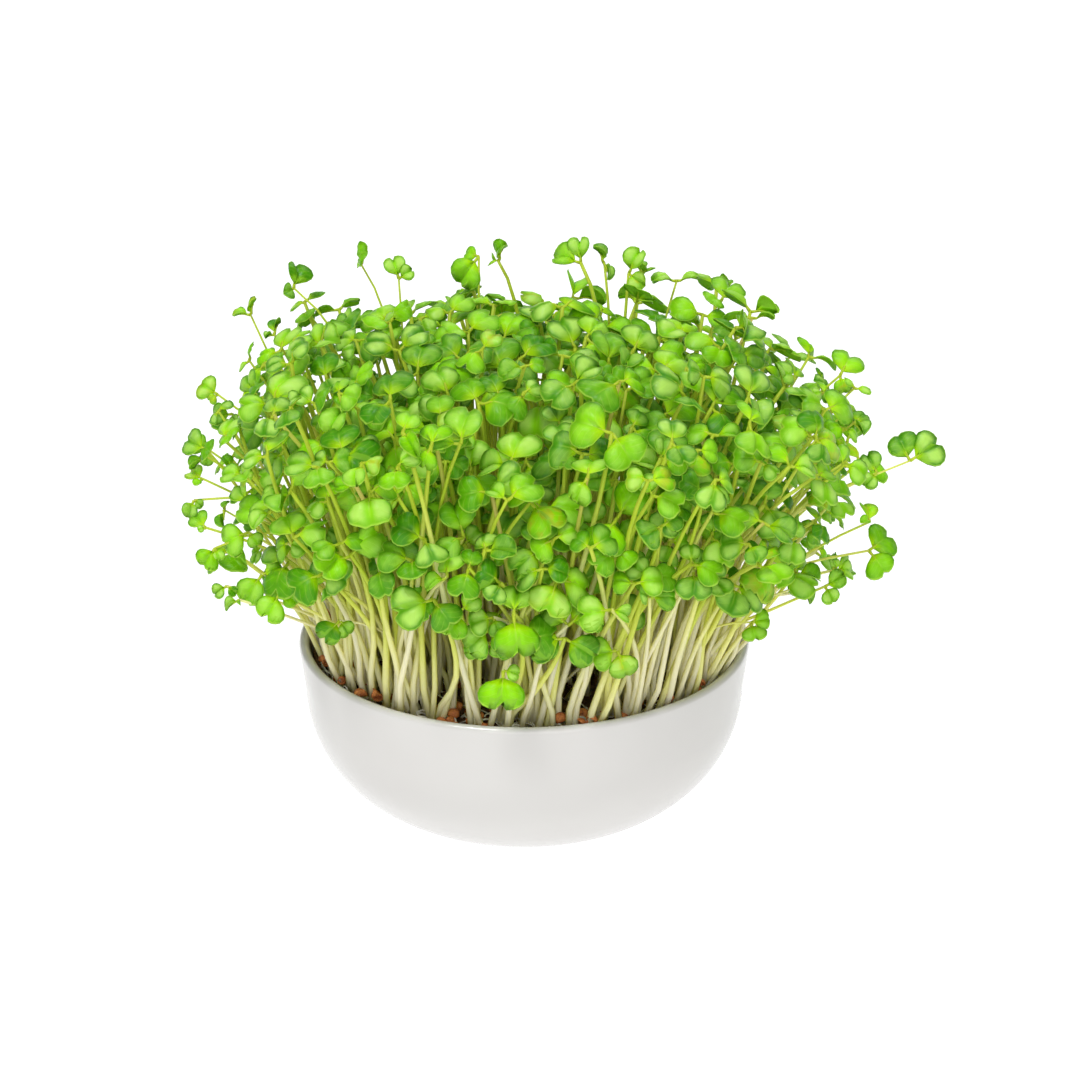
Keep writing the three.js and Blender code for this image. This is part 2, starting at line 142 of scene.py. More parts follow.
class Socket:
    """A shader value that arithmetic works on, by adding Math nodes."""

    def __init__(self, tree: "ShaderTree", value: Any) -> None:
        """Wraps an output socket or a number."""
        self.tree = tree
        self.value = value

    def _math(self, operation: str, *operands: Any) -> "Socket":
        """Adds a Math node for an operation on the operands."""
        return self.tree.node("ShaderNodeMath", {"operation": operation}, dict(enumerate(operands)))

    def __add__(self, other: Any) -> "Socket":
        """Sum."""
        return self._math("ADD", self, other)

    __radd__ = __add__

    def __mul__(self, other: Any) -> "Socket":
        """Product."""
        return self._math("MULTIPLY", self, other)

    __rmul__ = __mul__

    def __sub__(self, other: Any) -> "Socket":
        """Difference."""
        return self._math("SUBTRACT", self, other)

    def __rsub__(self, other: Any) -> "Socket":
        """Difference with this value taken away."""
        return self._math("SUBTRACT", other, self)

    def absolute(self) -> "Socket":
        """The value without its sign."""
        return self._math("ABSOLUTE", self)

    def maximum(self, other: Any) -> "Socket":
        """The larger of two values."""
        return self._math("MAXIMUM", self, other)

    def clamped(self) -> "Socket":
        """The value held between 0 and 1."""
        return self.tree.node("ShaderNodeClamp", {}, {"Value": self})

    def step(self, low: float, high: float) -> "Socket":
        """Rises smoothly from 0 at low to 1 at high; high may be below low."""
        return self.tree.node(
            "ShaderNodeMapRange",
            {"interpolation_type": "SMOOTHSTEP"},
            {"Value": self, "From Min": low, "From Max": high},
        )


class ShaderTree:
    """Builds the nodes of one material or of the world."""

    def __init__(self, owner: bpy.types.Material | bpy.types.World) -> None:
        """Gives a new material or world an empty tree.

        Args:
            owner: the material or the world.
        """
        owner.use_nodes = True
        self.owner = owner
        self.nodes = owner.node_tree.nodes
        self.links = owner.node_tree.links
        self.nodes.clear()

    def node(self, kind: str, settings: dict[str, Any], inputs: dict[Any, Any], output: Any = 0) -> Socket:
        """Adds a node.

        Args:
            kind: the node's type.
            settings: its properties, which are set first.
            inputs: values or sockets by the input's name or number.
            output: which output is wanted.

        Returns:
            The wanted output, wrapped; a node that ends the tree has none.
        """
        made = self.nodes.new(kind)
        for key, value in settings.items():
            setattr(made, key, value)
        for key, value in inputs.items():
            if isinstance(value, Socket):
                self.links.new(value.value, made.inputs[key])
            else:
                made.inputs[key].default_value = value
        return Socket(self, made.outputs[output] if made.outputs else None)

    def attribute(self, name: str) -> Socket:
        """A number stored on the mesh's points."""
        return self.node("ShaderNodeAttribute", {"attribute_name": name}, {}, "Fac")

    def place(self) -> Socket:
        """The point's coordinates on the piece."""
        return self.node("ShaderNodeTexCoord", {}, {}, "Object")

    def noise(self, scale: float, detail: float) -> Socket:
        """Cloudy noise from 0 to 1, by how many clouds fit in a metre and how many finer layers it has."""
        return self.node("ShaderNodeTexNoise", {}, {"Vector": self.place(), "Scale": scale, "Detail": detail})

    def blend(self, share: Any, first: Any, second: Any) -> Socket:
        """A colour between two.

        Args:
            share: 0 for the first, 1 for the second.
            first: a colour or a socket.
            second: a colour or a socket.

        Returns:
            The colour.
        """
        inputs = {MIX_SHARE: share, MIX_FIRST: first, MIX_SECOND: second}
        return self.node("ShaderNodeMix", {"data_type": "RGBA"}, inputs, MIX_COLOUR)

    def bump(self, height: Socket, distance: float, strength: float) -> Socket:
        """A bumpy normal.

        Args:
            height: the relief from 0 to 1.
            distance: how far 1 stands out, in metres.
            strength: how strongly it shows.

        Returns:
            The normal.
        """
        return self.node("ShaderNodeBump", {}, {"Height": height, "Distance": distance, "Strength": strength})

    def principled(self, **inputs: Any) -> Socket:
        """A Principled surface; an input's name has underscores for its spaces."""
        named = {key.replace("_", " "): value for key, value in inputs.items()}
        return self.node("ShaderNodeBsdfPrincipled", {}, named)

    def thin(self, surface: Socket, glow: Colour, share: float) -> Socket:
        """A surface that lets some light through.

        Args:
            surface: the opaque part.
            glow: the colour of the light that comes through.
            share: how much of the surface lets light through.

        Returns:
            The mixed surface.
        """
        through = self.node("ShaderNodeBsdfTranslucent", {}, {"Color": glow})
        return self.node("ShaderNodeMixShader", {}, {0: share, 1: surface, 2: through})

    def finish(self, surface: Socket, kind: str = "ShaderNodeOutputMaterial") -> Any:
        """Ends the tree in an output and gives its material or world."""
        self.node(kind, {}, {"Surface": surface})
        return self.owner


@dataclass(frozen=True)
class LeafFinish:
    """The blade of a seed leaf.

    It is yellow-green at its stalk, partly its own paler base and partly a painted glow of light through it.
    Further out it is greener, with painted shade darkening round its lobes and a painted pale sheen on their
    domes, faint veins and a thin pale margin.
    """

    deep: Colour = (0.036, 0.235, 0.001, 1.0)
    fresh: Colour = (0.340, 0.820, 0.002, 1.0)
    glow: Colour = (0.560, 0.900, 0.002, 1.0)
    # the pale colour of the painted sheen on the lobes' domes
    painted_sheen: Colour = (0.540, 0.850, 0.150, 1.0)
    pale: Colour = (0.640, 0.900, 0.110, 1.0)
    under: Colour = (0.290, 0.600, 0.030, 1.0)
    old: Colour = (0.600, 0.560, 0.020, 1.0)
    through: Colour = (0.620, 1.000, 0.002, 1.0)
    see_through: float = 0.22

    def material(self) -> bpy.types.Material:
        """Makes the material.

        Returns:
            The material.
        """
        tree = ShaderTree(bpy.data.materials.new("leaf"))
        tone, along, across, sheen_share = (tree.attribute(name) for name in ("tone", "along", "across", "sheen_share"))
        side = across.absolute()
        cloud = tree.noise(420.0, 4.0)
        share = (tone.step(0.05, 0.95) * 0.87 + cloud * 0.5 - 0.16).clamped()
        colour = tree.blend(share, self.deep, self.fresh)
        colour = tree.blend(tone.step(0.955, 0.985) * cloud.step(0.4, 0.6) * 0.7, colour, self.old)
        # painted shade: deeper green round each lobe's edges, where the domed blade turns away from the light
        painted_edge_shade = (side.step(0.45, 1.0) * 0.7 + along.step(0.5, 1.0) * 0.5).clamped()
        colour = tree.blend(painted_edge_shade * 0.7, colour, self.deep)
        # yellow-green towards the stalk: partly the leaf's own paler base, partly a painted glow of light
        # shining through
        heart = along.step(0.45, 0.0) * 0.85
        colour = tree.blend(heart, colour, self.glow)
        # painted sheen: a pale highlight painted on the top of each lobe's dome, stronger on some leaves than
        # others
        dome = side.step(0.06, 0.36) * side.step(0.98, 0.6) * along.step(0.08, 0.45) * along.step(1.0, 0.72)
        colour = tree.blend(dome * (sheen_share * 1.5 + cloud * 0.5 - 0.52).clamped() * 0.85, colour, self.painted_sheen)
        rib = side.step(0.09, 0.0) * along.step(1.0, 0.35)
        spread = along * 9.0 - side * 5.0 + cloud * 0.6
        branch = tree.node("ShaderNodeMath", {"operation": "PINGPONG"}, {0: spread, 1: 1.0})
        branch = branch.step(0.22, 0.0) * side.step(0.05, 0.3) * side.step(1.0, 0.6)
        vein = (rib + branch * 0.6).clamped()
        colour = tree.blend(vein * 0.36, colour, self.pale)
        margin = side.maximum(along).step(0.94, 1.0)
        colour = tree.blend(margin * 0.5, colour, self.pale)
        colour = tree.blend(tree.attribute("under") * 0.7, colour, self.under)
        relief = (1.0 - vein) * 0.7 + tree.noise(2600.0, 2.0) * 0.3 + cloud * 1.6
        surface = tree.principled(
            Base_Color=colour,
            Roughness=cloud * 0.16 + 0.28,
            Specular_IOR_Level=0.25,
            Normal=tree.bump(relief, 0.00022, 0.5),
        )
        return tree.finish(tree.thin(surface, self.through, self.see_through))


@dataclass(frozen=True)
class StemFinish:
    """A stem: white at its foot, yellow-green higher up, and brownish on a few."""

    white: Colour = (0.990, 0.970, 0.770, 1.0)
    lime: Colour = (0.940, 0.970, 0.240, 1.0)
    green: Colour = (0.550, 0.740, 0.030, 1.0)
    blush: Colour = (0.700, 0.520, 0.200, 1.0)
    through: Colour = (1.000, 0.950, 0.380, 1.0)
    see_through: float = 0.40

    def material(self) -> bpy.types.Material:
        """Makes the material.

        Returns:
            The material.
        """
        tree = ShaderTree(bpy.data.materials.new("stem"))
        tone, along = tree.attribute("tone"), tree.attribute("along")
        streak = tree.noise(900.0, 2.0)
        rise = along + tone * 0.45 + streak * 0.12 - 0.28
        colour = tree.blend(rise.step(0.05, 0.5), self.white, self.lime)
        colour = tree.blend(rise.step(0.26, 0.68), colour, self.green)
        brown = tone.step(0.94, 0.98) * along.step(0.3, 0.8)
        colour = tree.blend(brown * 0.75, colour, self.blush)
        surface = tree.principled(
            Base_Color=colour,
            Roughness=streak * 0.15 + 0.38,
            Specular_IOR_Level=0.45,
            Normal=tree.bump(streak, 0.00012, 0.4),
        )
        return tree.finish(tree.thin(surface, self.through, self.see_through))


@dataclass(frozen=True)
class GlazeFinish:
    """Warm white glaze, almost smooth."""

    white: Colour = (0.620, 0.608, 0.588, 1.0)
    thin_spot: Colour = (0.600, 0.584, 0.564, 1.0)

    def material(self) -> bpy.types.Material:
        """Makes the material.

        Returns:
            The material.
        """
        tree = ShaderTree(bpy.data.materials.new("white_glaze"))
        pool = tree.noise(26.0, 3.0)
        speck = tree.noise(1500.0, 1.0)
        colour = tree.blend(pool.step(0.42, 0.72) * 0.6, self.white, self.thin_spot)
        surface = tree.principled(
            Base_Color=colour,
            Roughness=pool * 0.10 + 0.17,
            Specular_IOR_Level=0.5,
            Coat_Weight=0.4,
            Coat_Roughness=0.08,
            Normal=tree.bump(pool * 0.8 + speck * 0.05, 0.0006, 0.25),
        )
        return tree.finish(surface)


@dataclass(frozen=True)
class EarthFinish:
    """Matt crumbly matter in two colours, for the soil, the seed hulls and the rootlets.

    grain is how many patches fit in a metre, and rough its roughness where it is smoothest.
    """

    name: str
    dark: Colour
    light: Colour
    grain: float
    rough: float

    def material(self) -> bpy.types.Material:
        """Makes the material.

        Returns:
            The material.
        """
        tree = ShaderTree(bpy.data.materials.new(self.name))
        patch = tree.noise(self.grain, 4.0)
        fine = tree.noise(self.grain * 7.0, 3.0)
        colour = tree.blend((patch * 0.7 + fine * 0.5).step(0.42, 0.85), self.dark, self.light)
        surface = tree.principled(
            Base_Color=colour,
            Roughness=fine * 0.2 + self.rough,
            Specular_IOR_Level=0.35,
            Normal=tree.bump(fine * 0.6 + patch * 0.4, 0.0006, 0.8),
        )
        return tree.finish(surface)


POTTING_EARTH = EarthFinish(
    "potting_soil", dark=(0.035, 0.016, 0.006, 1.0), light=(0.190, 0.092, 0.034, 1.0), grain=700.0, rough=0.75
)
SEED_HUSK = EarthFinish(
    "seed_husk", dark=(0.340, 0.085, 0.018, 1.0), light=(0.840, 0.330, 0.100, 1.0), grain=500.0, rough=0.4
)
ROOTLET = EarthFinish(
    "rootlet", dark=(0.760, 0.730, 0.600, 1.0), light=(0.940, 0.920, 0.820, 1.0), grain=900.0, rough=0.6
)


@dataclass(frozen=True)
class StudioFinish:
    """Plain white paper for the floor."""

    grey: Colour = (0.30, 0.30, 0.30, 1.0)
    glow: float = 0.85

    def material(self) -> bpy.types.Material:
        """Makes the material.

        Returns:
            The material.
        """
        tree = ShaderTree(bpy.data.materials.new("studio_white"))
        surface = tree.principled(
            Base_Color=self.grey, Roughness=1.0, Emission_Color=WHITE, Emission_Strength=self.glow
        )
        return tree.finish(surface)


# The stand of seedlings, laid out in millimetres


@dataclass(frozen=True)
class Habit:
    """What tells a lone seedling from its solid; a value of None is the solid's own.

    way, turn, face and size are as in Outlier. second is the size of the second leaf for 1 of the first,
    fold how far the leaves are folded up along the rib, arch how high the stem's bend is for 1 of its crown,
    bow how far it is bent to the right, stout how thick it is, and rise how far its crown is lifted.
    """

    way: float | None = None
    turn: float | None = None
    face: Place | None = None
    size: float | None = None
    second: float = 0.8
    fold: float = 0.1
    arch: float = 0.6
    bow: float = 0.0
    stout: float = 0.62
    rise: float = 0.0


@dataclass(frozen=True)
class Outlier:
    """A seedling that stands out of the mass.

    crown is where its leaves start, face the way that their upper side looks; way, turn and lift are the
    first leaf's direction, the angle to the second and how far both are raised, in degrees.
    """

    crown: Place
    face: Place
    way: float
    turn: float
    lift: float
    size: float
    habit: Habit = Habit()


VIEWER = (0.0, -0.87, 0.5)
OUTLIERS = (
    Outlier((-93, 5, 133), VIEWER, 112, 70, 5, 0.5, Habit(way=145, size=0.62, second=0.5)),
    Outlier((-96, 0, 117), VIEWER, 60, 110, 5, 0.5, Habit(way=150, second=0.75, fold=0.3)),
    Outlier((-99.5, -14, 106), VIEWER, 205, 80, 5, 0.45, Habit(way=245, second=0.6, fold=0.5, arch=1.06)),
    Outlier(
        (-92, -30, 97), VIEWER, 200, 85, 0, 0.45,
        Habit(way=230, turn=60, size=0.58, second=0.6, arch=1.35),
    ),
    Outlier((-88, -40, 89), VIEWER, 160, 110, 0, 0.45, Habit(way=210, second=0.7, fold=0.6)),
    Outlier((-84, 25, 152), (-0.6, 0, 0.8), 90, 180, 48, 0.55, Habit(second=0.9, fold=0.4, bow=-3)),
    Outlier(
        (-71, 35, 157), VIEWER, 76, 120, 10, 0.65,
        Habit(way=62, turn=120, face=(0.6, -0.6, 0.5), size=0.78, second=0.6, fold=0.45, arch=0.8, bow=4),
    ),
    Outlier((-84, 14, 141), (-0.9, 0, 0.45), 90, 180, 10, 0.5),
    Outlier(
        (-51, 50, 161), (-0.5, -0.6, 0.6), 50, 95, 25, 0.6,
        Habit(
            way=52, turn=170, face=(-0.8, -0.4, 0.4), size=0.72, second=0.2, fold=0.35, arch=0.8, bow=4,
            rise=-0.8,
        ),
    ),
    Outlier(
        (-39, 45, 157), (0, -0.8, 0.6), 10, 85, 10, 0.55,
        Habit(way=106, turn=-75, size=0.74, second=0.7, fold=0.55),
    ),
    Outlier(
        (-14, 55, 161), VIEWER, 190, 80, -8, 0.75,
        Habit(way=228, turn=-70, size=0.95, second=0.5, fold=0.35, arch=0.95, bow=6),
    ),
    Outlier(
        (-8, 47, 163), (-0.8, 0, 0.6), 90, 180, 5, 0.55,
        Habit(
            way=70, turn=125, face=(-0.85, -0.3, 0.4), size=0.7, second=0.6, fold=0.6, arch=0.85, bow=9,
            stout=0.9, rise=-0.8,
        ),
    ),
    Outlier(
        (18, 55, 159), (-0.2, -0.6, 0.75), 95, 85, 15, 0.7,
        Habit(way=100, turn=78, size=0.78, second=1.1, fold=0.6, arch=0.8, bow=8, stout=0.95),
    ),
    Outlier(
        (33, 50, 157), VIEWER, 6, 76, 5, 0.6,
        Habit(
            way=75, turn=-105, face=(-0.4, -0.7, 0.5), size=0.74, second=0.8, fold=0.5, arch=0.8, bow=8,
            stout=0.9,
        ),
    ),
    Outlier((71, 30, 149), (0.1, 0.3, 0.95), 5, 180, 5, 0.6, Habit(size=0.8, fold=0.4)),
    Outlier(
        (98, 24, 132), (0.1, -0.75, 0.65), 15, 120, 0, 0.8,
        Habit(way=58, turn=-140, size=0.9, second=0.55),
    ),
    Outlier(
        (118.5, 5, 111), VIEWER, -28, 72, 0, 0.8,
        Habit(way=33, turn=85, size=1.0, second=0.75, fold=0.2),
    ),
    Outlier((107, -8, 112), VIEWER, 115, 110, 5, 0.65, Habit(second=0.8, fold=0.4)),
    Outlier((104, -21, 92), VIEWER, -62, 90, 5, 0.75, Habit(way=-52, second=1.1)),
    Outlier((90, -32, 85), VIEWER, -60, 90, 5, 0.5, Habit(second=1.2, fold=0.5)),
    Outlier((67, -47, 80), VIEWER, -80, 90, 5, 0.55, Habit(second=0.9)),
    Outlier((-6, -75, 74), (0, -0.8, 0.6), 218, 84, -5, 0.8, Habit(way=266, size=1.0, second=0.4, rise=3.4)),
    Outlier((-10, -70, 88), VIEWER, 225, 110, -5, 0.8, Habit(way=215, second=0.75)),
    Outlier((27, -67, 80), VIEWER, 180, 100, 0, 0.6, Habit(way=190, size=0.74, second=1.0)),
    Outlier((-54, -54, 84), VIEWER, 230, 80, 0, 0.6, Habit(size=0.66, second=0.7)),
)
LACE = (
    Outlier((-88, 2, 130), (-0.5, -0.7, 0.5), 200, 120, 10, 0.6, Habit(second=0.5, fold=0.4)),
    Outlier((-95, -8, 117), (-0.8, -0.3, 0.5), 250, 100, 5, 0.5, Habit(second=0.4, fold=0.8)),
    Outlier((-86, -6, 114), (0.6, -0.3, 0.7), 300, 150, 10, 0.6, Habit(second=0.7, fold=0.4)),
    Outlier((-98, -10, 112), (-0.2, -0.3, 0.9), 170, 90, 5, 0.55, Habit(second=0.5, fold=0.3, bow=-4)),
    Outlier((-90, -16, 106), (-0.7, -0.6, 0.3), 300, 130, 10, 0.5, Habit(second=0.6, fold=0.9)),
    Outlier((-97, -20, 101), (-0.3, -0.5, 0.8), 150, 80, 15, 0.58, Habit(second=0.4, fold=0.3, arch=0.8)),
    Outlier((-82, -22, 101), (-0.3, -0.8, 0.5), 60, 150, 10, 0.8, Habit(second=0.6, fold=0.2)),
    Outlier((-80, -30, 99), VIEWER, 200, 110, 5, 0.8, Habit(second=0.5)),
    Outlier((-85, -44, 86), (-0.4, -0.4, 0.8), 230, 100, 5, 0.45, Habit(second=0.4, fold=0.9)),
    Outlier((-77, -42, 91), (-0.2, -0.6, 0.7), 250, 140, 0, 0.78, Habit(second=0.7, fold=0.2)),
    Outlier((-70, -46, 87), (0.1, -0.8, 0.6), 230, 100, 0, 0.8, Habit(second=0.6)),
    Outlier((-79, 20, 146), (-0.5, -0.1, 0.8), 140, 160, 20, 0.5, Habit(second=0.6, fold=0.8)),
    Outlier((-56, 40, 157), (0.9, -0.2, 0.3), 90, 180, 8, 0.6, Habit(fold=0.5, bow=3)),
    Outlier((-51, 42, 154), (-0.8, -0.2, 0.5), 80, 150, 10, 0.65, Habit(fold=0.7, bow=4)),
    Outlier((-16, 52, 157), (-0.1, -0.2, 0.9), 10, 170, 10, 0.7, Habit(fold=0.4)),
    Outlier((24, 58, 158), (0.8, -0.1, 0.5), 90, 140, 10, 0.6, Habit(fold=0.7, bow=3)),
    Outlier((38, 52, 155), (0.3, 0.1, 0.9), 20, 150, 25, 0.6, Habit(fold=0.5)),
    Outlier((46, 50, 152), (0.0, 0.1, 1.0), 10, 170, 5, 0.8, Habit(fold=0.3)),
    Outlier((60, 44, 150), (0.3, -0.3, 0.9), 30, 150, 15, 0.85),
    Outlier((99, 6, 115), (0.4, -0.6, 0.6), 60, 120, 10, 0.7, Habit(arch=1.04, second=0.6)),
    Outlier((107, -14, 99), (0.3, -0.3, 0.8), 60, 100, 20, 0.6, Habit(second=0.6, fold=0.6)),
    Outlier((84, -36, 84), (0.5, -0.4, 0.7), 280, 90, 5, 0.55, Habit(second=0.6, fold=0.8)),
    Outlier((94, -26, 89), (0.6, -0.5, 0.6), 330, 110, 10, 0.58, Habit(second=0.5, fold=0.5)),
    Outlier((66, -52, 89), VIEWER, 250, 110, 0, 0.7, Habit(second=0.6)),
    Outlier((-40, -63, 75), VIEWER, 250, 90, 0, 0.4, Habit(second=0.5)),
    Outlier((4, -73, 67), (0.3, -0.8, 0.5), 100, 150, 10, 0.4, Habit(fold=0.8)),
    Outlier((31, -68, 82), VIEWER, 60, -70, 5, 0.6, Habit(second=0.9)),
    Outlier((70, 25, 143), (0.2, -0.6, 0.8), 200, 170, 5, 0.95, Habit(fold=0.15, stout=0.9)),
    Outlier((64, 31, 147), (-0.1, -0.5, 0.9), 100, 150, 0, 0.9, Habit(fold=0.3, stout=0.9)),
    Outlier((73, 18, 137), (0.5, -0.6, 0.6), 250, 120, 0, 0.95, Habit(fold=0.1, stout=0.9)),
    Outlier((58, 36, 149), (0.3, -0.4, 0.9), 150, 160, 10, 0.9, Habit(fold=0.2, stout=0.9)),
    Outlier((79, 14, 129), (0.6, -0.5, 0.6), 300, 130, 5, 0.85, Habit(fold=0.3, stout=0.85)),
    Outlier((52, 40, 151), (0.1, -0.5, 0.8), 190, 160, 15, 0.85, Habit(fold=0.4, stout=0.9)),
    Outlier((80, 22, 140), (0.6, -0.2, 0.8), 20, 150, 5, 0.8, Habit(fold=0.4, stout=0.85)),
)

# How much of a point's height and of its depth shows as height in the photographed view
VIEW_UP, VIEW_BACK = 0.913, 0.408

# Height of the leafy part's lower edge by the direction from the middle, in degrees from the right
HEM_TURN = (0, 60, 120, 180, 215, 232, 243, 252, 262, 272, 281, 290, 310, 325, 340, 360)
HEM_LEVEL = (86, 84, 84, 80, 84, 82, 94, 88, 68, 66, 84, 94, 90, 80, 84, 86)

# How low a front seedling's crown may hang, as it is seen from in front, by its place from left to right
HANG_PLACE = (-110, -62, -42, -24, -6, 12, 30, 44, 110)
HANG_LEVEL = (54, 64, 67, 55, 44, 49, 54, 67, 58)


@dataclass(frozen=True)
class Blade:
    """One leaf of a pair: where it starts, its directions, its size and a fold that is asked for."""

    crown: np.ndarray
    along: np.ndarray
    across: np.ndarray
    normal: np.ndarray
    size: float
    fold: float | None = None


@dataclass
class Seedling:
    """One seedling: its tuft, its stem's line, its two leaves and how stout its stem is.

    lone is its entry where it stands out of the mass.
    """

    tuft: int
    foot: np.ndarray
    bend: np.ndarray
    crown: np.ndarray
    points: np.ndarray
    blades: list[Blade]
    stout: float = 1.0
    lone: Outlier | None = None


def leaf_pair(
    crown: np.ndarray, face: np.ndarray, way: float, turn: float, lift: float, size: float
) -> list[Blade]:
    """The two leaves at a crown.

    Args:
        crown: where both start.
        face: the way that their upper side looks, one long.
        way: the first leaf's direction round that way, in degrees from the right.
        turn: degrees from it to the second leaf.
        lift: how far both are raised, in degrees.
        size: their size as a share of a full leaf.

    Returns:
        The two blades.
    """
    right = np.array([-face[1], face[0], 0.0])
    if np.linalg.norm(right) < 0.05:
        right = np.array([1.0, 0.0, 0.0])
    right = unit(right)
    top = np.cross(face, right)
    blades = []
    for angle in (math.radians(way), math.radians(way + turn)):
        flat = right * math.cos(angle) + top * math.sin(angle)
        raised = math.radians(lift)
        along = flat * math.cos(raised) + face * math.sin(raised)
        across = np.cross(flat, face)
        blades.append(Blade(crown, along, across, np.cross(across, along), size))
    return blades


class Clearance:
    """What already stands, with tests of whether a new seedling would cross any of it."""

    def __init__(self, length: float, width: float, arch: float, slab: float, reach: float = 1.0) -> None:
        """Starts with nothing standing.

        Args:
            length: a full leaf's length.
            width: a full leaf's width.
            arch: how far a leaf's middle is raised.
            slab: half the height that a leaf takes up.
            reach: how far out along its length a leaf's blade ends, as a share.
        """
        self.length, self.width, self.arch, self.slab, self.reach = length, width, arch, slab, reach
        self.edge = np.array(
            [[0.42, 0.42], [0.5, 0.74], [0.26, 1], [0, 0.87], [-0.26, 1], [-0.5, 0.74], [-0.42, 0.42]]
        )
        self.stems = np.zeros((0, 25, 3))
        self.low = np.zeros((0, 3))
        self.high = np.zeros((0, 3))
        self.tufts = np.zeros(0, int)
        self.slabs = np.zeros((0, 5, 3))
        self.sizes = np.zeros(0)

    def _slabs(self, blades: list[Blade]) -> tuple[np.ndarray, np.ndarray]:
        """Crown, middle, across, along and normal of each blade, and their sizes.

        Args:
            blades: the blades.

        Returns:
            The five rows of each blade, and the sizes.
        """
        rows = []
        for blade in blades:
            middle = blade.crown + blade.along * (0.55 * self.reach * self.length * blade.size)
            rows.append([blade.crown, middle, blade.across, blade.along, blade.normal])
        return np.array(rows), np.array([blade.size for blade in blades])

    def _outline(self, slabs: np.ndarray, sizes: np.ndarray) -> tuple[np.ndarray, np.ndarray]:
        """Starts and ends of the nine lines that stand for each blade's edge and rib.

        Args:
            slabs: the blades' rows.
            sizes: the blades' sizes.

        Returns:
            The starts and the ends.
        """
        crown, across, along, normal = slabs[:, 0], slabs[:, 2], slabs[:, 3], slabs[:, 4]
        x = self.edge[None, :, 0, None] * self.width * sizes[:, None, None]
        y = self.edge[None, :, 1, None] * self.reach * self.length * sizes[:, None, None]
        points = crown[:, None] + across[:, None] * x + along[:, None] * y
        points = points + normal[:, None] * (self.arch / 2)
        points = np.concatenate([points, crown[:, None]], axis=1)
        ends = np.concatenate([np.roll(points, -1, axis=1), points[:, 3:4]], axis=1)
        starts = np.concatenate([points, crown[:, None]], axis=1)
        return starts, ends

    def _crosses(
        self, starts: np.ndarray, ends: np.ndarray, slabs: np.ndarray, sizes: np.ndarray, margin: float
    ) -> bool:
        """Whether any line comes into any blade's oval slab, each grown by margin.

        Args:
            starts: the lines' starts, broadcast against the blades.
            ends: the lines' ends.
            slabs: the blades.
            sizes: the blades' sizes.
            margin: extra room.

        Returns:
            True where one does.
        """
        middle = slabs[:, 1] + slabs[:, 4] * (self.arch / 2)
        half_x = 0.5 * self.width * sizes + margin
        half_y = 0.47 * self.reach * self.length * sizes + margin
        half_z = self.slab + margin

        def local(points: np.ndarray) -> tuple[np.ndarray, np.ndarray, np.ndarray]:
            """Coordinates in the blade's own directions."""
            d = points - middle
            return (
                (d * slabs[:, 2]).sum(-1) / half_x,
                (d * slabs[:, 3]).sum(-1) / half_y,
                (d * slabs[:, 4]).sum(-1),
            )

        ax, ay, az = local(starts)
        bx, by, bz = local(ends)
        rise = bz - az
        steep = np.abs(rise) > 1e-9
        safe = np.where(steep, rise, 1.0)
        one, two = (half_z - az) / safe, (-half_z - az) / safe
        low = np.where(steep, np.maximum(0, np.minimum(one, two)), 0.0)
        high = np.where(steep, np.minimum(1, np.maximum(one, two)), 1.0)
        within = (low <= high) & (steep | (np.abs(az) <= half_z))
        dx, dy = bx - ax, by - ay
        nearest = -(ax * dx + ay * dy) / (dx * dx + dy * dy + 1e-12)
        t = np.minimum(high, np.maximum(low, nearest))
        return bool((within & (np.hypot(ax + t * dx, ay + t * dy) < 1)).any())

    def is_clear(self, new: Seedling, stem_gap: float, stem_margin: float, leaf_margin: float) -> bool:
        """Whether a seedling crosses nothing that stands.

        Args:
            new: the seedling.
            stem_gap: the least distance between the middles of two tufts' stems.
            stem_margin: room round a stem's middle line.
            leaf_margin: room round a leaf.

        Returns:
            True if it is clear.
        """
        if not len(self.stems):
            return True
        slabs, sizes = self._slabs(new.blades)
        low, high = new.points.min(0) - stem_gap, new.points.max(0) + stem_gap
        near = (self.tufts != new.tuft) & (self.low <= high).all(1) & (self.high >= low).all(1)
        if near.any():
            gaps = self.stems[near][:, :, None] - new.points[None, None]
            if (gaps * gaps).sum(-1).min() < stem_gap**2:
                return False
        gaps = self.stems - new.crown
        near = ((gaps * gaps).sum(-1).min(1)) < (1.2 * self.length * sizes.max() + 10) ** 2
        stems = self.stems[near]
        starts, ends = stems[:, :-1].reshape(-1, 1, 3), stems[:, 1:].reshape(-1, 1, 3)
        if len(stems) and self._crosses(starts, ends, slabs, sizes, stem_margin):
            return False
        gaps = self.slabs[:, 1, None] - new.points[None]
        near = (gaps * gaps).sum(-1).min(1) < (0.75 * self.length * self.sizes + 9) ** 2
        starts, ends = new.points[:-1, None], new.points[1:, None]
        if near.any() and self._crosses(starts, ends, self.slabs[near], self.sizes[near], stem_margin):
            return False
        for k in range(len(slabs)):
            gap = self.slabs[:, 1] - slabs[k, 1]
            near = (gap * gap).sum(1) <= (0.6 * self.length * (self.sizes + sizes[k]) + 2) ** 2
            if not near.any():
                continue
            mine, my_size = slabs[k : k + 1], sizes[k : k + 1]
            theirs, their_sizes = self.slabs[near], self.sizes[near]
            starts, ends = (lines[0][:, None] for lines in self._outline(mine, my_size))
            if self._crosses(starts, ends, theirs, their_sizes, leaf_margin):
                return False
            starts, ends = (lines.reshape(-1, 1, 3) for lines in self._outline(theirs, their_sizes))
            if self._crosses(starts, ends, mine, my_size, leaf_margin):
                return False
        return True

    def add(self, new: Seedling) -> None:
        """Lets a seedling stand."""
        slabs, sizes = self._slabs(new.blades)
        self.stems = np.concatenate([self.stems, new.points[None]])
        self.low = np.concatenate([self.low, new.points.min(0)[None]])
        self.high = np.concatenate([self.high, new.points.max(0)[None]])
        self.tufts = np.append(self.tufts, new.tuft)
        self.slabs = np.concatenate([self.slabs, slabs])
        self.sizes = np.append(self.sizes, sizes)


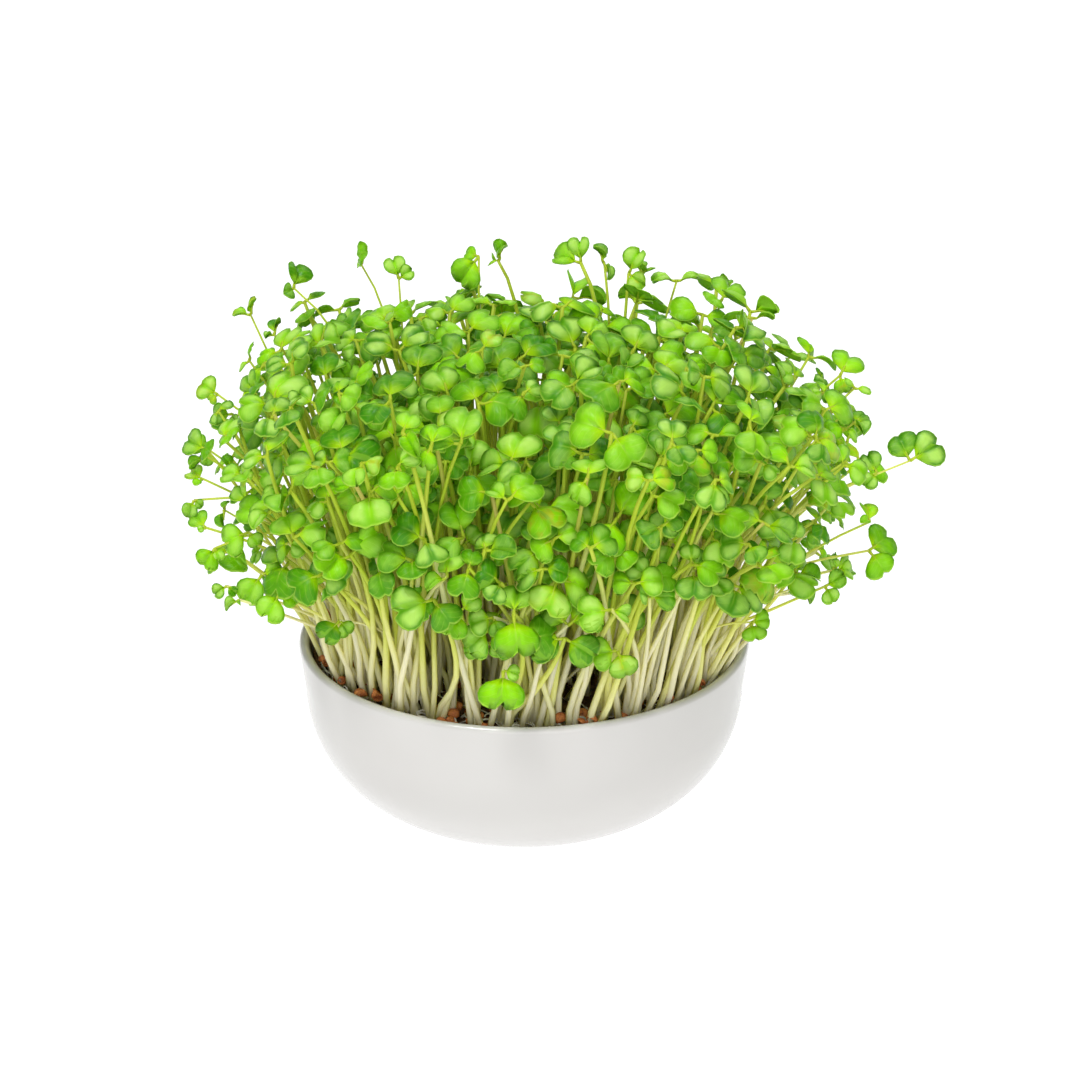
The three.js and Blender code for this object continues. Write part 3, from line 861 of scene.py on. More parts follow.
@dataclass(frozen=True)
class Posture:
    """How a group of seedlings holds its leaves, in ranges for the draws.

    sideways and forwards are the crown's lean for upright of height, size the leaves' size, lift how far they
    are raised, and narrowing how much less than half a turn a pair may open, in degrees.
    """

    sideways: Range
    forwards: Range
    size: Range
    lift: Range
    narrowing: float
    upright: float = 1.0

    def lean(self, stream: RandomStream) -> np.ndarray:
        """The way that a crown leans, as the draws say."""
        return np.array([stream.between(*self.sideways), stream.between(*self.forwards), self.upright])

    def opening(self, stream: RandomStream) -> float:
        """Degrees from the first leaf to the second, as the draw says."""
        return HALF_TURN - self.narrowing * stream.draw()


@dataclass(frozen=True)
class FrontRow:
    """Sizes of the front row, whose white stems show in full.

    Its feet lie along the bowl's front, from start on by sweep degrees, past the other feet by overhang and
    back by depth, the nearer to the edge the higher crowding is. Its crowns fall from top in even shares.
    """

    count: int = 78
    start: float = 198.0
    sweep: float = 144.0
    overhang: float = 0.8
    depth: float = 7.0
    crowding: float = 1.5
    reach: Range = (0.72, 1.0)
    sway: Range = (-22.0, 22.0)
    top: float = 148.0
    fall: float = 46.0
    jitter: Range = (-4.0, 4.0)
    outward: float = 0.7
    posture: Posture = Posture((-0.4, 0.4), (-0.6, 0.1), (0.7, 1.15), (-10.0, 30.0), 90.0)


@dataclass(frozen=True)
class Skirt:
    """Sizes of the skirt all round, whose leaves hang in front of the stems.

    pull draws it together in front. Its crowns go down from top to the hem, and the low ones are tucked
    towards low_reach from the middle. outward and droop turn the leaves' faces away from the middle.
    """

    count: int = 230
    tries: int = 60
    pull: float = 0.35
    turn: Range = (-0.05, 0.05)
    foot_radius: Range = (55.0, 63.0)
    foot_turn: Range = (-0.17, 0.17)
    evenness: float = 0.9
    scatter: float = 0.12
    top: float = 136.0
    low_reach: float = 73.0
    tuck: float = 0.7
    tuck_power: float = 1.5
    reach: Range = (0.93, 1.01)
    sway: Range = (-12.0, 12.0)
    jitter: Range = (-2.0, 3.0)
    outward: float = 0.6
    droop: float = 0.7
    posture: Posture = Posture((-0.4, 0.4), (-0.5, 0.15), (0.62, 1.12), (-10.0, 30.0), 90.0)


@dataclass(frozen=True)
class Filling:
    """Sizes of the seedlings between those of the solids.

    count is how many are tried for in the innermost tuft and in the outermost, each within cell_radius. The
    short ones are tucked inwards, and slow swells and a shoulder at each side make the top uneven.
    """

    count: tuple[int, int] = (8, 19)
    tries: int = 32
    cell_radius: float = 8.6
    cell_start: float = 0.7
    shortening: float = 1.05
    scatter: float = 0.2
    shortest: float = 1.15
    tuck: float = 0.15
    jitter: tuple[Range, Range, Range] = ((-9.0, 9.0), (-8.0, 8.0), (-6.0, 5.0))
    swell: float = 7.0
    swell_width: float = 17.0
    shoulder: float = 9.0
    shoulder_place: float = 64.0
    shoulder_width: float = 17.0
    foot_share: float = 0.9
    foot_jitter: Range = (-4.0, 4.0)
    outward: float = 0.012
    posture: Posture = Posture((-0.35, 0.35), (-0.65, 0.1), (0.68, 1.16), (-10.0, 34.0), 80.0)


@dataclass(frozen=True)
class Undergrowth:
    """Sizes of the short seedlings in the gaps of the front.

    Their crowns lie within across, deep and level, no further from the middle than reach, and lower in front
    by slope.
    """

    count: int = 230
    tries: int = 45
    across: Range = (-70.0, 80.0)
    deep: Range = (-62.0, -2.0)
    level: Range = (84.0, 135.0)
    slope: float = 0.5
    reach: float = 72.0
    foot_share: float = 0.8
    foot_jitter: Range = (-6.0, 6.0)
    outward: float = 0.010
    posture: Posture = Posture((-0.4, 0.4), (-0.9, -0.2), (0.6, 0.95), (-5.0, 25.0), 80.0, 0.9)


@dataclass
class Stand:
    """Where every seedling stands and leans: first those of the solids, then the finer ones between them.

    Lengths are in millimetres. The reaches and the top level are those of the whole canopy, and a crown
    comes down from the top by the drops. fine_margins is the room that a finer seedling needs: between the
    stems of two tufts, round a stem and round a leaf.
    """

    soil_level: float = 51.0
    tufts: int = 43
    sown_radius: float = 59.0
    outer_start: int = 27
    per_tuft: tuple[int, int] = (2, 3)
    foot_offset: float = 1.4
    foot_depth: float = 1.3
    foot_limit: float = 62.5
    spread_offset: float = 5.2
    spread_jitter: float = 5.0
    stem_radius: float = 1.3
    stem_steps: int = 2
    lone_stem_steps: int = 3
    line_parts: int = 24
    leaf_length: float = 14.5
    leaf_width: float = 13.5
    leaf_thickness: float = 0.7
    leaf_arch: float = 1.6
    leaf_lean: float = 0.5
    leaf_bow: float = -0.34
    leaf_outward: float = 0.011
    leaf_narrowing: float = 70.0
    leaf_lift: Range = (-6.0, 30.0)
    stand_radius: float = 63.0
    reach_right: float = 106.0
    reach_left: float = 93.0
    reach_back: float = 88.0
    reach_front: float = 74.0
    top_level: float = 154.0
    shoulder_drop: float = 17.0
    middle_drop: float = 7.0
    side_drop: float = 52.0
    seed: int = 11
    tries: int = 60
    stem_clearance: float = 3.1
    stem_room: float = 0.5
    leaf_room: float = 0.9
    life_size: float = 0.96
    fine_reach: float = 0.78
    fine_slab: float = 0.55
    fine_margins: tuple[float, float, float] = (1.3, 0.4, -0.25)
    fine_bow: tuple[Range, Range] = ((-11.0, 11.0), (-9.0, 9.0))
    second_leaf: Range = (0.68, 0.98)
    lace_tries: int = 16
    lace_shift: Range = (-2.5, 2.5)
    thin_start: float = 76.0
    thin_run: float = 22.0
    thinning: float = 0.34
    front: FrontRow = FrontRow()
    skirt: Skirt = Skirt()
    filling: Filling = Filling()
    undergrowth: Undergrowth = Undergrowth()
    room_low: Place = (-104.5, -81.0, 56.0)
    room_high: Place = (128.5, 96.5, 168.5)
    seedlings: list[Seedling] = field(default_factory=list)

    def feet(self) -> np.ndarray:
        """The middles of the root balls, evenly over the soil.

        Returns:
            One row for each tuft.
        """
        rows = []
        for i in range(self.tufts):
            radius = self.sown_radius * math.sqrt((i + 0.5) / self.tufts)
            rows.append(radius * flat_way(i * GOLDEN_ANGLE))
        return np.array(rows)

    def rooted(self, foot: np.ndarray) -> np.ndarray:
        """A foot at the depth where stems start."""
        return np.array([foot[0], foot[1], self.soil_level - self.foot_depth])

    def sown(self, foot: np.ndarray) -> np.ndarray:
        """A foot at that depth, moved inwards where it is too near the bowl."""
        away = float(np.linalg.norm(foot[:2]))
        return self.rooted(foot * min(1.0, self.foot_limit / max(away, 1.0)))

    def reaches(self, place: np.ndarray) -> tuple[float, float]:
        """How far the stand goes on a place's side: to the right or left, and back or forwards."""
        wide = self.reach_right if place[0] > 0 else self.reach_left
        deep = self.reach_back if place[1] > 0 else self.reach_front
        return wide, deep

    def reach_along(self, way: np.ndarray) -> float:
        """How far the stand goes in a flat direction."""
        wide, deep = self.reaches(way)
        return math.hypot(wide * way[0], deep * way[1])

    def crown_over(self, place: np.ndarray, shortness: float) -> np.ndarray:
        """Where the crown comes of a seedling that makes for a place in the stand.

        Args:
            place: the place, over the soil.
            shortness: 0 for the tallest there, 1 for the shortest.

        Returns:
            The crown.
        """
        share = min(float(np.linalg.norm(place[:2])) / self.stand_radius, 1.04)
        turn = math.atan2(place[1], place[0])
        wide, deep = self.reaches(place)
        drop = self.shoulder_drop * share**2.2 + shortness * (self.middle_drop + self.side_drop * share**3)
        return np.array([wide * share * math.cos(turn), deep * share * math.sin(turn), self.top_level - drop])

    def grow(
        self, tuft: int, foot: np.ndarray, crown: np.ndarray, steps: int, blades: list[Blade]
    ) -> Seedling:
        """A seedling of the solids, with its stem's line and the points along its straight steps.

        Args:
            tuft: the tuft that it belongs to.
            foot: where its stem starts.
            crown: where its leaves start.
            steps: how many straight steps its stem has.
            blades: its leaves.

        Returns:
            The seedling.
        """
        bend = bend_between(foot, crown)
        t = np.linspace(0, 1, 201)[:, None]
        curve = along_stem(foot, bend, crown, t)
        run = np.concatenate([[0], np.cumsum(np.linalg.norm(np.diff(curve, axis=0), axis=1))])
        at = np.interp(np.linspace(0, run[-1], steps + 1), run, t[:, 0])[:, None]
        joints = along_stem(foot, bend, crown, at)
        parts = round(self.line_parts / steps)
        points = [foot]
        for i in range(steps):
            for k in range(1, parts + 1):
                points.append(joints[i] + (joints[i + 1] - joints[i]) * k / parts)
        return Seedling(tuft, foot, bend, crown, np.array(points), blades)

    def lone(self, entry: Outlier, feet: np.ndarray) -> Seedling:
        """The seedling of an outlier, from the tuft that is nearest below it.

        Args:
            entry: the outlier.
            feet: the tufts' middles.

        Returns:
            The seedling, as in the solids.
        """
        crown = np.array(entry.crown, float)
        flat = np.array([crown[0], crown[1], 0.0])
        away = np.linalg.norm(flat)
        tuft = nearest(feet, flat * min(1.0, self.sown_radius / (1.35 * away)))
        foot = self.rooted(feet[tuft] - flat / away * (0.4 * self.foot_offset))
        face = unit(np.array(entry.face, float))
        blades = leaf_pair(crown, face, entry.way, entry.turn, entry.lift, entry.size)
        grown = self.grow(tuft, foot, crown, self.lone_stem_steps, blades)
        return replace(grown, lone=entry)

    def in_life(self, plant: Seedling) -> Seedling:
        """A seedling of the solids with leaves of life size, and a lone one with its own habit.

        Args:
            plant: the seedling, as in the solids.

        Returns:
            The finer seedling.
        """
        if plant.lone is None:
            blades = [replace(blade, size=blade.size * self.life_size) for blade in plant.blades]
            return replace(plant, blades=blades)
        entry, habit = plant.lone, plant.lone.habit
        face = unit(np.array(habit.face or entry.face, float))
        way = entry.way if habit.way is None else habit.way
        turn = entry.turn if habit.turn is None else habit.turn
        size = entry.size if habit.size is None else habit.size
        crown = plant.crown + np.array([0.0, 0.0, habit.rise])
        pair = leaf_pair(crown, face, way, turn, entry.lift, size)
        blades = [
            replace(pair[0], fold=habit.fold),
            replace(pair[1], fold=habit.fold, size=size * habit.second),
        ]
        bend = bend_between(plant.foot, crown, habit.arch) + np.array([habit.bow, 0.0, 0.0])
        return replace(plant, crown=crown, blades=blades, bend=bend, stout=habit.stout)

    def one_of_many(
        self,
        tuft: int,
        middle: np.ndarray,
        heading: float,
        shortness: float,
        stream: RandomStream,
        size: float,
    ) -> Seedling:
        """One try at a seedling of the solids' mass, turned and tilted as the draws say.

        Args:
            tuft: the tuft that it belongs to.
            middle: that tuft's middle.
            heading: its direction from there, in radians.
            shortness: 0 for the tallest, 1 for the shortest.
            stream: the tuft's random numbers.
            size: the size of its leaves.

        Returns:
            The seedling.
        """
        offset = flat_way(heading)
        crown = self.crown_over(middle + offset * self.spread_offset, shortness)
        crown[0] += self.spread_jitter * (stream.draw() - 0.5)
        crown[1] += self.spread_jitter * (stream.draw() - 0.5)
        foot = self.rooted(middle + offset * self.foot_offset)
        outward = flattened(crown) * self.leaf_outward
        lean_x = self.leaf_lean * (stream.draw() - 0.5)
        lean_y = self.leaf_bow + self.leaf_lean * (stream.draw() - 0.5)
        face = unit(np.array([lean_x, lean_y, 1.0]) + outward)
        turn = HALF_TURN - self.leaf_narrowing * stream.draw()
        way = FULL_TURN * stream.draw()
        lift = self.leaf_lift[1] * stream.draw() + self.leaf_lift[0]
        blades = leaf_pair(crown, face, way, turn, lift, size)
        return self.grow(tuft, foot, crown, self.stem_steps, blades)

    def lay_out(self) -> list[Seedling]:
        """Lays out the seedlings that the solids hold, by the solids' own rule.

        Returns:
            The seedlings.
        """
        feet = self.feet()
        stand: list[Seedling] = []
        room = Clearance(self.leaf_length, self.leaf_width, self.leaf_arch, self.leaf_thickness)
        margins = (self.stem_clearance, self.stem_radius + self.stem_room, self.leaf_room)

        def keep(seedling: Seedling) -> bool:
            """Lets it stand if it is clear."""
            if not room.is_clear(seedling, *margins):
                return False
            room.add(seedling)
            stand.append(seedling)
            return True

        for entry in OUTLIERS:
            keep(self.lone(entry, feet))
        for tuft in reversed(range(self.tufts)):
            stream = RandomStream(self.seed * 1000 + tuft)
            heading = 2 * math.pi * stream.draw()
            count = self.per_tuft[0 if tuft < self.outer_start else 1]
            for k in range(count):
                angle = heading + 2 * math.pi * k / count
                for i in range(self.tries):
                    shortness = (k + stream.draw()) / count
                    shortness += 0.6 * i * stream.draw() / self.tries
                    size = 1 - 0.25 * i / self.tries
                    if keep(self.one_of_many(tuft, feet[tuft], angle, shortness, stream, size)):
                        break
        return stand

    def fill_in(self) -> None:
        """Lays out the stand: the solids' seedlings at life size, then finer ones round and between them."""
        feet = self.feet()
        room = Clearance(
            self.leaf_length, self.leaf_width, self.leaf_arch, self.fine_slab, self.fine_reach
        )

        def keep(seedling: Seedling) -> None:
            """Lets a seedling stand."""
            room.add(seedling)
            self.seedlings.append(seedling)

        def try_for(tries: int, make: Callable[[], Seedling]) -> None:
            """Keeps the first of some tries that is clear of what stands."""
            for _ in range(tries):
                made = make()
                if self.has_room(made) and room.is_clear(made, *self.fine_margins):
                    keep(made)
                    break

        for seedling in self.lay_out():
            keep(self.in_life(seedling))
        for k, entry in enumerate(LACE):
            stream = RandomStream(self.seed * 5000 + k)
            try_for(self.lace_tries, lambda: self.in_life(self.lone(self.nudged(entry, stream), feet)))
        for k in range(self.front.count):
            stream = RandomStream(self.seed * 4000 + k)
            try_for(self.skirt.tries, lambda: self.one_of_front(k, feet, stream))
        for k in range(self.skirt.count):
            stream = RandomStream(self.seed * 3000 + k)
            try_for(self.skirt.tries, lambda: self.one_of_skirt(k, feet, stream))
        group = self.filling
        for tuft in range(self.tufts):
            stream = RandomStream(self.seed * 2000 + tuft)
            heading = 2 * math.pi * stream.draw()
            inner, outer = group.count
            count = round(inner + (outer - inner) * (tuft + 0.5) / self.tufts)
            for k in range(count):
                offset = flat_way(heading + k * GOLDEN_ANGLE)
                offset *= group.cell_radius * math.sqrt((k + group.cell_start) / count)
                try_for(
                    group.tries,
                    lambda: self.one_between(tuft, feet[tuft], offset, even_share(k), stream),
                )
        for k in range(self.undergrowth.count):
            stream = RandomStream(self.seed * 6000 + k)
            try_for(self.undergrowth.tries, lambda: self.one_under(feet, stream))

    def has_room(self, plant: Seedling) -> bool:
        """Whether a seedling's leaves stay within the whole stand's box, and clear of the front's stems.

        Args:
            plant: the seedling.

        Returns:
            True if they do.
        """
        hang = VIEW_UP * plant.crown[2] + VIEW_BACK * plant.crown[1]
        if plant.crown[1] < 0 and hang < np.interp(plant.crown[0], HANG_PLACE, HANG_LEVEL):
            return False
        for blade in plant.blades:
            tip = blade.crown + blade.along * (self.fine_reach * self.leaf_length * blade.size)
            side = blade.across * (0.5 * self.leaf_width * blade.size)
            for point in (tip + side, tip - side):
                if (point < self.room_low).any() or (point > self.room_high).any():
                    return False
        return True

    def stoutness(self, crown: np.ndarray) -> float:
        """How stout a stem is and how large its leaves are: less towards the far sides."""
        out = (abs(float(crown[0])) - self.thin_start) / self.thin_run
        return 1 - self.thinning * min(1.0, max(0.0, out))

    def nudged(self, entry: Outlier, stream: RandomStream) -> Outlier:
        """A lone seedling's entry with its crown moved a little."""
        moved = [value + stream.between(*self.lace_shift) for value in entry.crown]
        return replace(entry, crown=(moved[0], moved[1], moved[2]))

    def bowed(
        self, tuft: int, foot: np.ndarray, crown: np.ndarray, blades: list[Blade], stream: RandomStream
    ) -> Seedling:
        """A fine seedling with its stem bowed as the draws say, and its second leaf smaller.

        Args:
            tuft: the tuft that it belongs to.
            foot: where its stem starts.
            crown: where its leaves start.
            blades: its leaves.
            stream: its random numbers.

        Returns:
            The seedling.
        """
        bow = np.array([stream.between(*self.fine_bow[0]), stream.between(*self.fine_bow[1]), 0.0])
        bend = bend_between(foot, crown) + bow
        points = along_stem(foot, bend, crown, np.linspace(0, 1, self.line_parts + 1)[:, None])
        blades = [blades[0], replace(blades[1], size=blades[1].size * stream.between(*self.second_leaf))]
        return Seedling(tuft, foot, bend, crown, points, blades, self.stoutness(crown))

    def edge_leaves(
        self, crown: np.ndarray, outward: np.ndarray, posture: Posture, stream: RandomStream
    ) -> list[Blade]:
        """The leaves of a seedling at the stand's edge.

        Args:
            crown: where they start.
            outward: how far their faces turn away from the middle.
            posture: how their group holds its leaves.
            stream: the seedling's random numbers.

        Returns:
            The two blades.
        """
        face = unit(posture.lean(stream) + outward)
        size = self.life_size * stream.between(*posture.size) * self.stoutness(crown)
        lift = stream.between(*posture.lift)
        way = FULL_TURN * stream.draw()
        return leaf_pair(crown, face, way, posture.opening(stream), lift, size)

    def one_of_front(self, k: int, feet: np.ndarray, stream: RandomStream) -> Seedling:
        """One try at a seedling of the front row, whose white stem shows in full.

        Args:
            k: its number in the row.
            feet: the tufts' middles.
            stream: its random numbers.

        Returns:
            The seedling.
        """
        group = self.front
        way = flat_way(math.radians(group.start + group.sweep * (k + stream.draw()) / group.count))
        foot = way * (self.foot_limit + group.overhang - group.depth * stream.draw() ** group.crowding)
        reach = self.reach_along(way) * stream.between(*group.reach)
        crown = way * reach + beside(way) * stream.between(*group.sway)
        crown[2] = group.top - group.fall * even_share(k) + stream.between(*group.jitter)
        blades = self.edge_leaves(crown, way * group.outward, group.posture, stream)
        return self.bowed(nearest(feet, foot), self.rooted(foot), crown, blades, stream)

    def one_of_skirt(self, k: int, feet: np.ndarray, stream: RandomStream) -> Seedling:
        """One try at a seedling at the stand's edge, whose leaves hang in front of the stems.

        Args:
            k: its number in the skirt.
            feet: the tufts' middles.
            stream: its random numbers.

        Returns:
            The seedling.
        """
        group = self.skirt
        round_way = 2 * math.pi * ((k + 0.5) / group.count - 0.5)
        turn = round_way - group.pull * math.sin(round_way) - math.pi / 2 + stream.between(*group.turn)
        foot_radius = stream.between(*group.foot_radius)
        foot = flat_way(turn + stream.between(*group.foot_turn)) * foot_radius
        way = flat_way(turn)
        reach = self.reach_along(way)
        shortness = min(1.0, even_share(k) * group.evenness + group.scatter * stream.draw())
        hem = float(np.interp(math.degrees(turn) % FULL_TURN, HEM_TURN, HEM_LEVEL))
        crown = way * (reach + (group.low_reach - reach) * group.tuck * shortness**group.tuck_power)
        crown = crown * stream.between(*group.reach)
        crown = crown + beside(way) * stream.between(*group.sway)
        crown[2] = group.top - (group.top - hem) * shortness + stream.between(*group.jitter)
        outward = way * (group.outward + group.droop * shortness)
        blades = self.edge_leaves(crown, outward, group.posture, stream)
        return self.bowed(nearest(feet, foot), self.rooted(foot), crown, blades, stream)

    def one_between(
        self, tuft: int, middle: np.ndarray, offset: np.ndarray, shortness: float, stream: RandomStream
    ) -> Seedling:
        """One try at a seedling between those of the solids.

        Args:
            tuft: the tuft that it belongs to.
            middle: that tuft's middle.
            offset: its place from there.
            shortness: 0 for the tallest, 1 for the shortest.
            stream: the tuft's random numbers.

        Returns:
            The seedling.
        """
        group = self.filling
        shortness = min(group.shortest, shortness * group.shortening + group.scatter * stream.draw())
        crown = self.crown_over(middle + offset, shortness)
        crown[:2] *= 1 - group.tuck * min(1.0, shortness) ** 2
        crown = crown + np.array([stream.between(*span) for span in group.jitter])
        crown[2] += group.swell * noise.noise(Vector((crown[0], crown[1], 0.0)) / group.swell_width)
        hump = math.exp(-(((abs(crown[0]) - group.shoulder_place) / group.shoulder_width) ** 2))
        crown[2] += group.shoulder * max(0.0, 1 - shortness) * hump
        shift = np.array([stream.between(*group.foot_jitter), stream.between(*group.foot_jitter), 0.0])
        foot = self.sown(middle + offset * group.foot_share + shift)
        face = unit(group.posture.lean(stream) + flattened(crown) * group.outward)
        turn = group.posture.opening(stream)
        size = self.life_size * stream.between(*group.posture.size) * self.stoutness(crown)
        way = FULL_TURN * stream.draw()
        blades = leaf_pair(crown, face, way, turn, stream.between(*group.posture.lift), size)
        return self.bowed(tuft, foot, crown, blades, stream)

    def one_under(self, feet: np.ndarray, stream: RandomStream) -> Seedling:
        """One try at a short seedling in the gaps of the front.

        Args:
            feet: the tufts' middles.
            stream: its random numbers.

        Returns:
            The seedling.
        """
        group = self.undergrowth
        crown = np.array([stream.between(*group.across), stream.between(*group.deep), 0.0])
        crown *= min(1.0, group.reach / float(np.linalg.norm(crown)))
        tuft = nearest(feet, crown * group.foot_share)
        low, high = group.level
        crown[2] = stream.between(low, high + group.slope * (crown[1] - group.deep[1]))
        shift = np.array([stream.between(*group.foot_jitter), stream.between(*group.foot_jitter), 0.0])
        foot = self.sown(feet[tuft] + shift)
        face = unit(group.posture.lean(stream) + flattened(crown) * group.outward)
        size = self.life_size * stream.between(*group.posture.size) * self.stoutness(crown)
        turn = group.posture.opening(stream)
        way = FULL_TURN * stream.draw()
        blades = leaf_pair(crown, face, way, turn, stream.between(*group.posture.lift), size)
        return self.bowed(tuft, foot, crown, blades, stream)


# Meshes


class Piece:
    """Turns a bmesh in millimetres into a finished piece of the object."""

    def __init__(self, name: str, slot: Slot, materials: Iterable[bpy.types.Material]) -> None:
        """Names a piece.

        Args:
            name: the piece's name.
            slot: the record's slot that it belongs to; it is not used.
            materials: its materials, in the order of the faces' numbers.
        """
        self.name, self.slot, self.materials = name, slot, list(materials)

    def finish(self, bm: bmesh.types.BMesh, *nodes: str) -> bpy.types.Object:
        """Makes the object, which rides on the bowl's body.

        Args:
            bm: the mesh, in millimetres. It is freed.
            nodes: the solids that it stands for.

        Returns:
            The object.
        """
        bmesh.ops.scale(bm, vec=(MM, MM, MM), verts=bm.verts)
        mesh = bpy.data.meshes.new(self.name)
        for face in bm.faces:
            face.smooth = True
        bm.to_mesh(mesh)
        bm.free()
        for material in self.materials:
            mesh.materials.append(material)
        made = bpy.data.objects.new(self.name, mesh)
        bpy.context.scene.collection.objects.link(made)
        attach(made, BODY)
        if nodes:
            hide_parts(*nodes)
        LOG.info("%s: %d faces", self.name, len(mesh.polygons))
        return made


class Joiner:
    """Adds small meshes to a large one, with their points' stored values."""

    def __init__(self) -> None:
        """Makes the mesh that carries them over."""
        self.carrier = bpy.data.meshes.new("carrier")

    def join(self, whole: bmesh.types.BMesh, part: bmesh.types.BMesh) -> None:
        """Adds a part to the whole.

        Args:
            whole: the mesh to add to.
            part: the mesh to add. It is freed.
        """
        part.to_mesh(self.carrier)
        part.free()
        whole.from_mesh(self.carrier)


class Strand:
    """Adds thin round strands that follow a curve: stems, leaf stalks and rootlets."""

    def __init__(self, joiner: Joiner, sides: int, segments: int, material_index: int = 0) -> None:
        """Makes the straight strand that each copy bends.

        Args:
            joiner: what adds the strands to their piece.
            sides: how many sides a strand has.
            segments: how many steps it has along its length.
            material_index: which of the piece's materials it takes.
        """
        self.joiner = joiner
        bm = bmesh.new()
        ends = bmesh.ops.create_cone(bm, cap_ends=True, segments=sides, radius1=1.0, radius2=1.0, depth=1.0)
        edges = {edge for vert in ends["verts"] for edge in vert.link_edges}
        rails = [edge for edge in edges if abs(edge.verts[0].co.z - edge.verts[1].co.z) > 0.5]
        bmesh.ops.subdivide_edges(bm, edges=rails, cuts=segments - 1)
        for face in bm.faces:
            face.material_index = material_index
        self.straight = bpy.data.meshes.new("straight_strand")
        bm.to_mesh(self.straight)
        bm.free()

    def add(
        self,
        whole: bmesh.types.BMesh,
        curve: Callable[[float], np.ndarray],
        radius: Callable[[float], float],
        values: dict[str, Callable[[float], float]],
        flatten: float = 1.0,
    ) -> None:
        """Adds one strand.

        Args:
            whole: the mesh to add to.
            curve: the point at a share of the way, from 0 to 1.
            radius: the radius at a share of the way.
            values: what to store on the points, by layer.
            flatten: the strand's height as a share of its width.
        """
        bm = bmesh.new()
        bm.from_mesh(self.straight)
        layers = {bm.verts.layers.float.new(name): value for name, value in values.items()}
        rings: dict[float, tuple[np.ndarray, np.ndarray, np.ndarray, float]] = {}
        for vert in bm.verts:
            share = round(min(max(vert.co.z + 0.5, 0.0), 1.0), 5)
            if share not in rings:
                ahead = unit(curve(min(share + 0.02, 1.0)) - curve(max(share - 0.02, 0.0)))
                hint = np.array([0.0, 1.0, 0.0]) if abs(ahead[1]) < 0.9 else np.array([1.0, 0.0, 0.0])
                right = unit(np.cross(hint, ahead))
                rings[share] = (curve(share), right, np.cross(ahead, right), radius(share))
            middle, right, up, size = rings[share]
            vert.co = middle + (right * vert.co.x + up * vert.co.y * flatten) * size
            for layer, value in layers.items():
                vert[layer] = value(share)
        self.joiner.join(whole, bm)


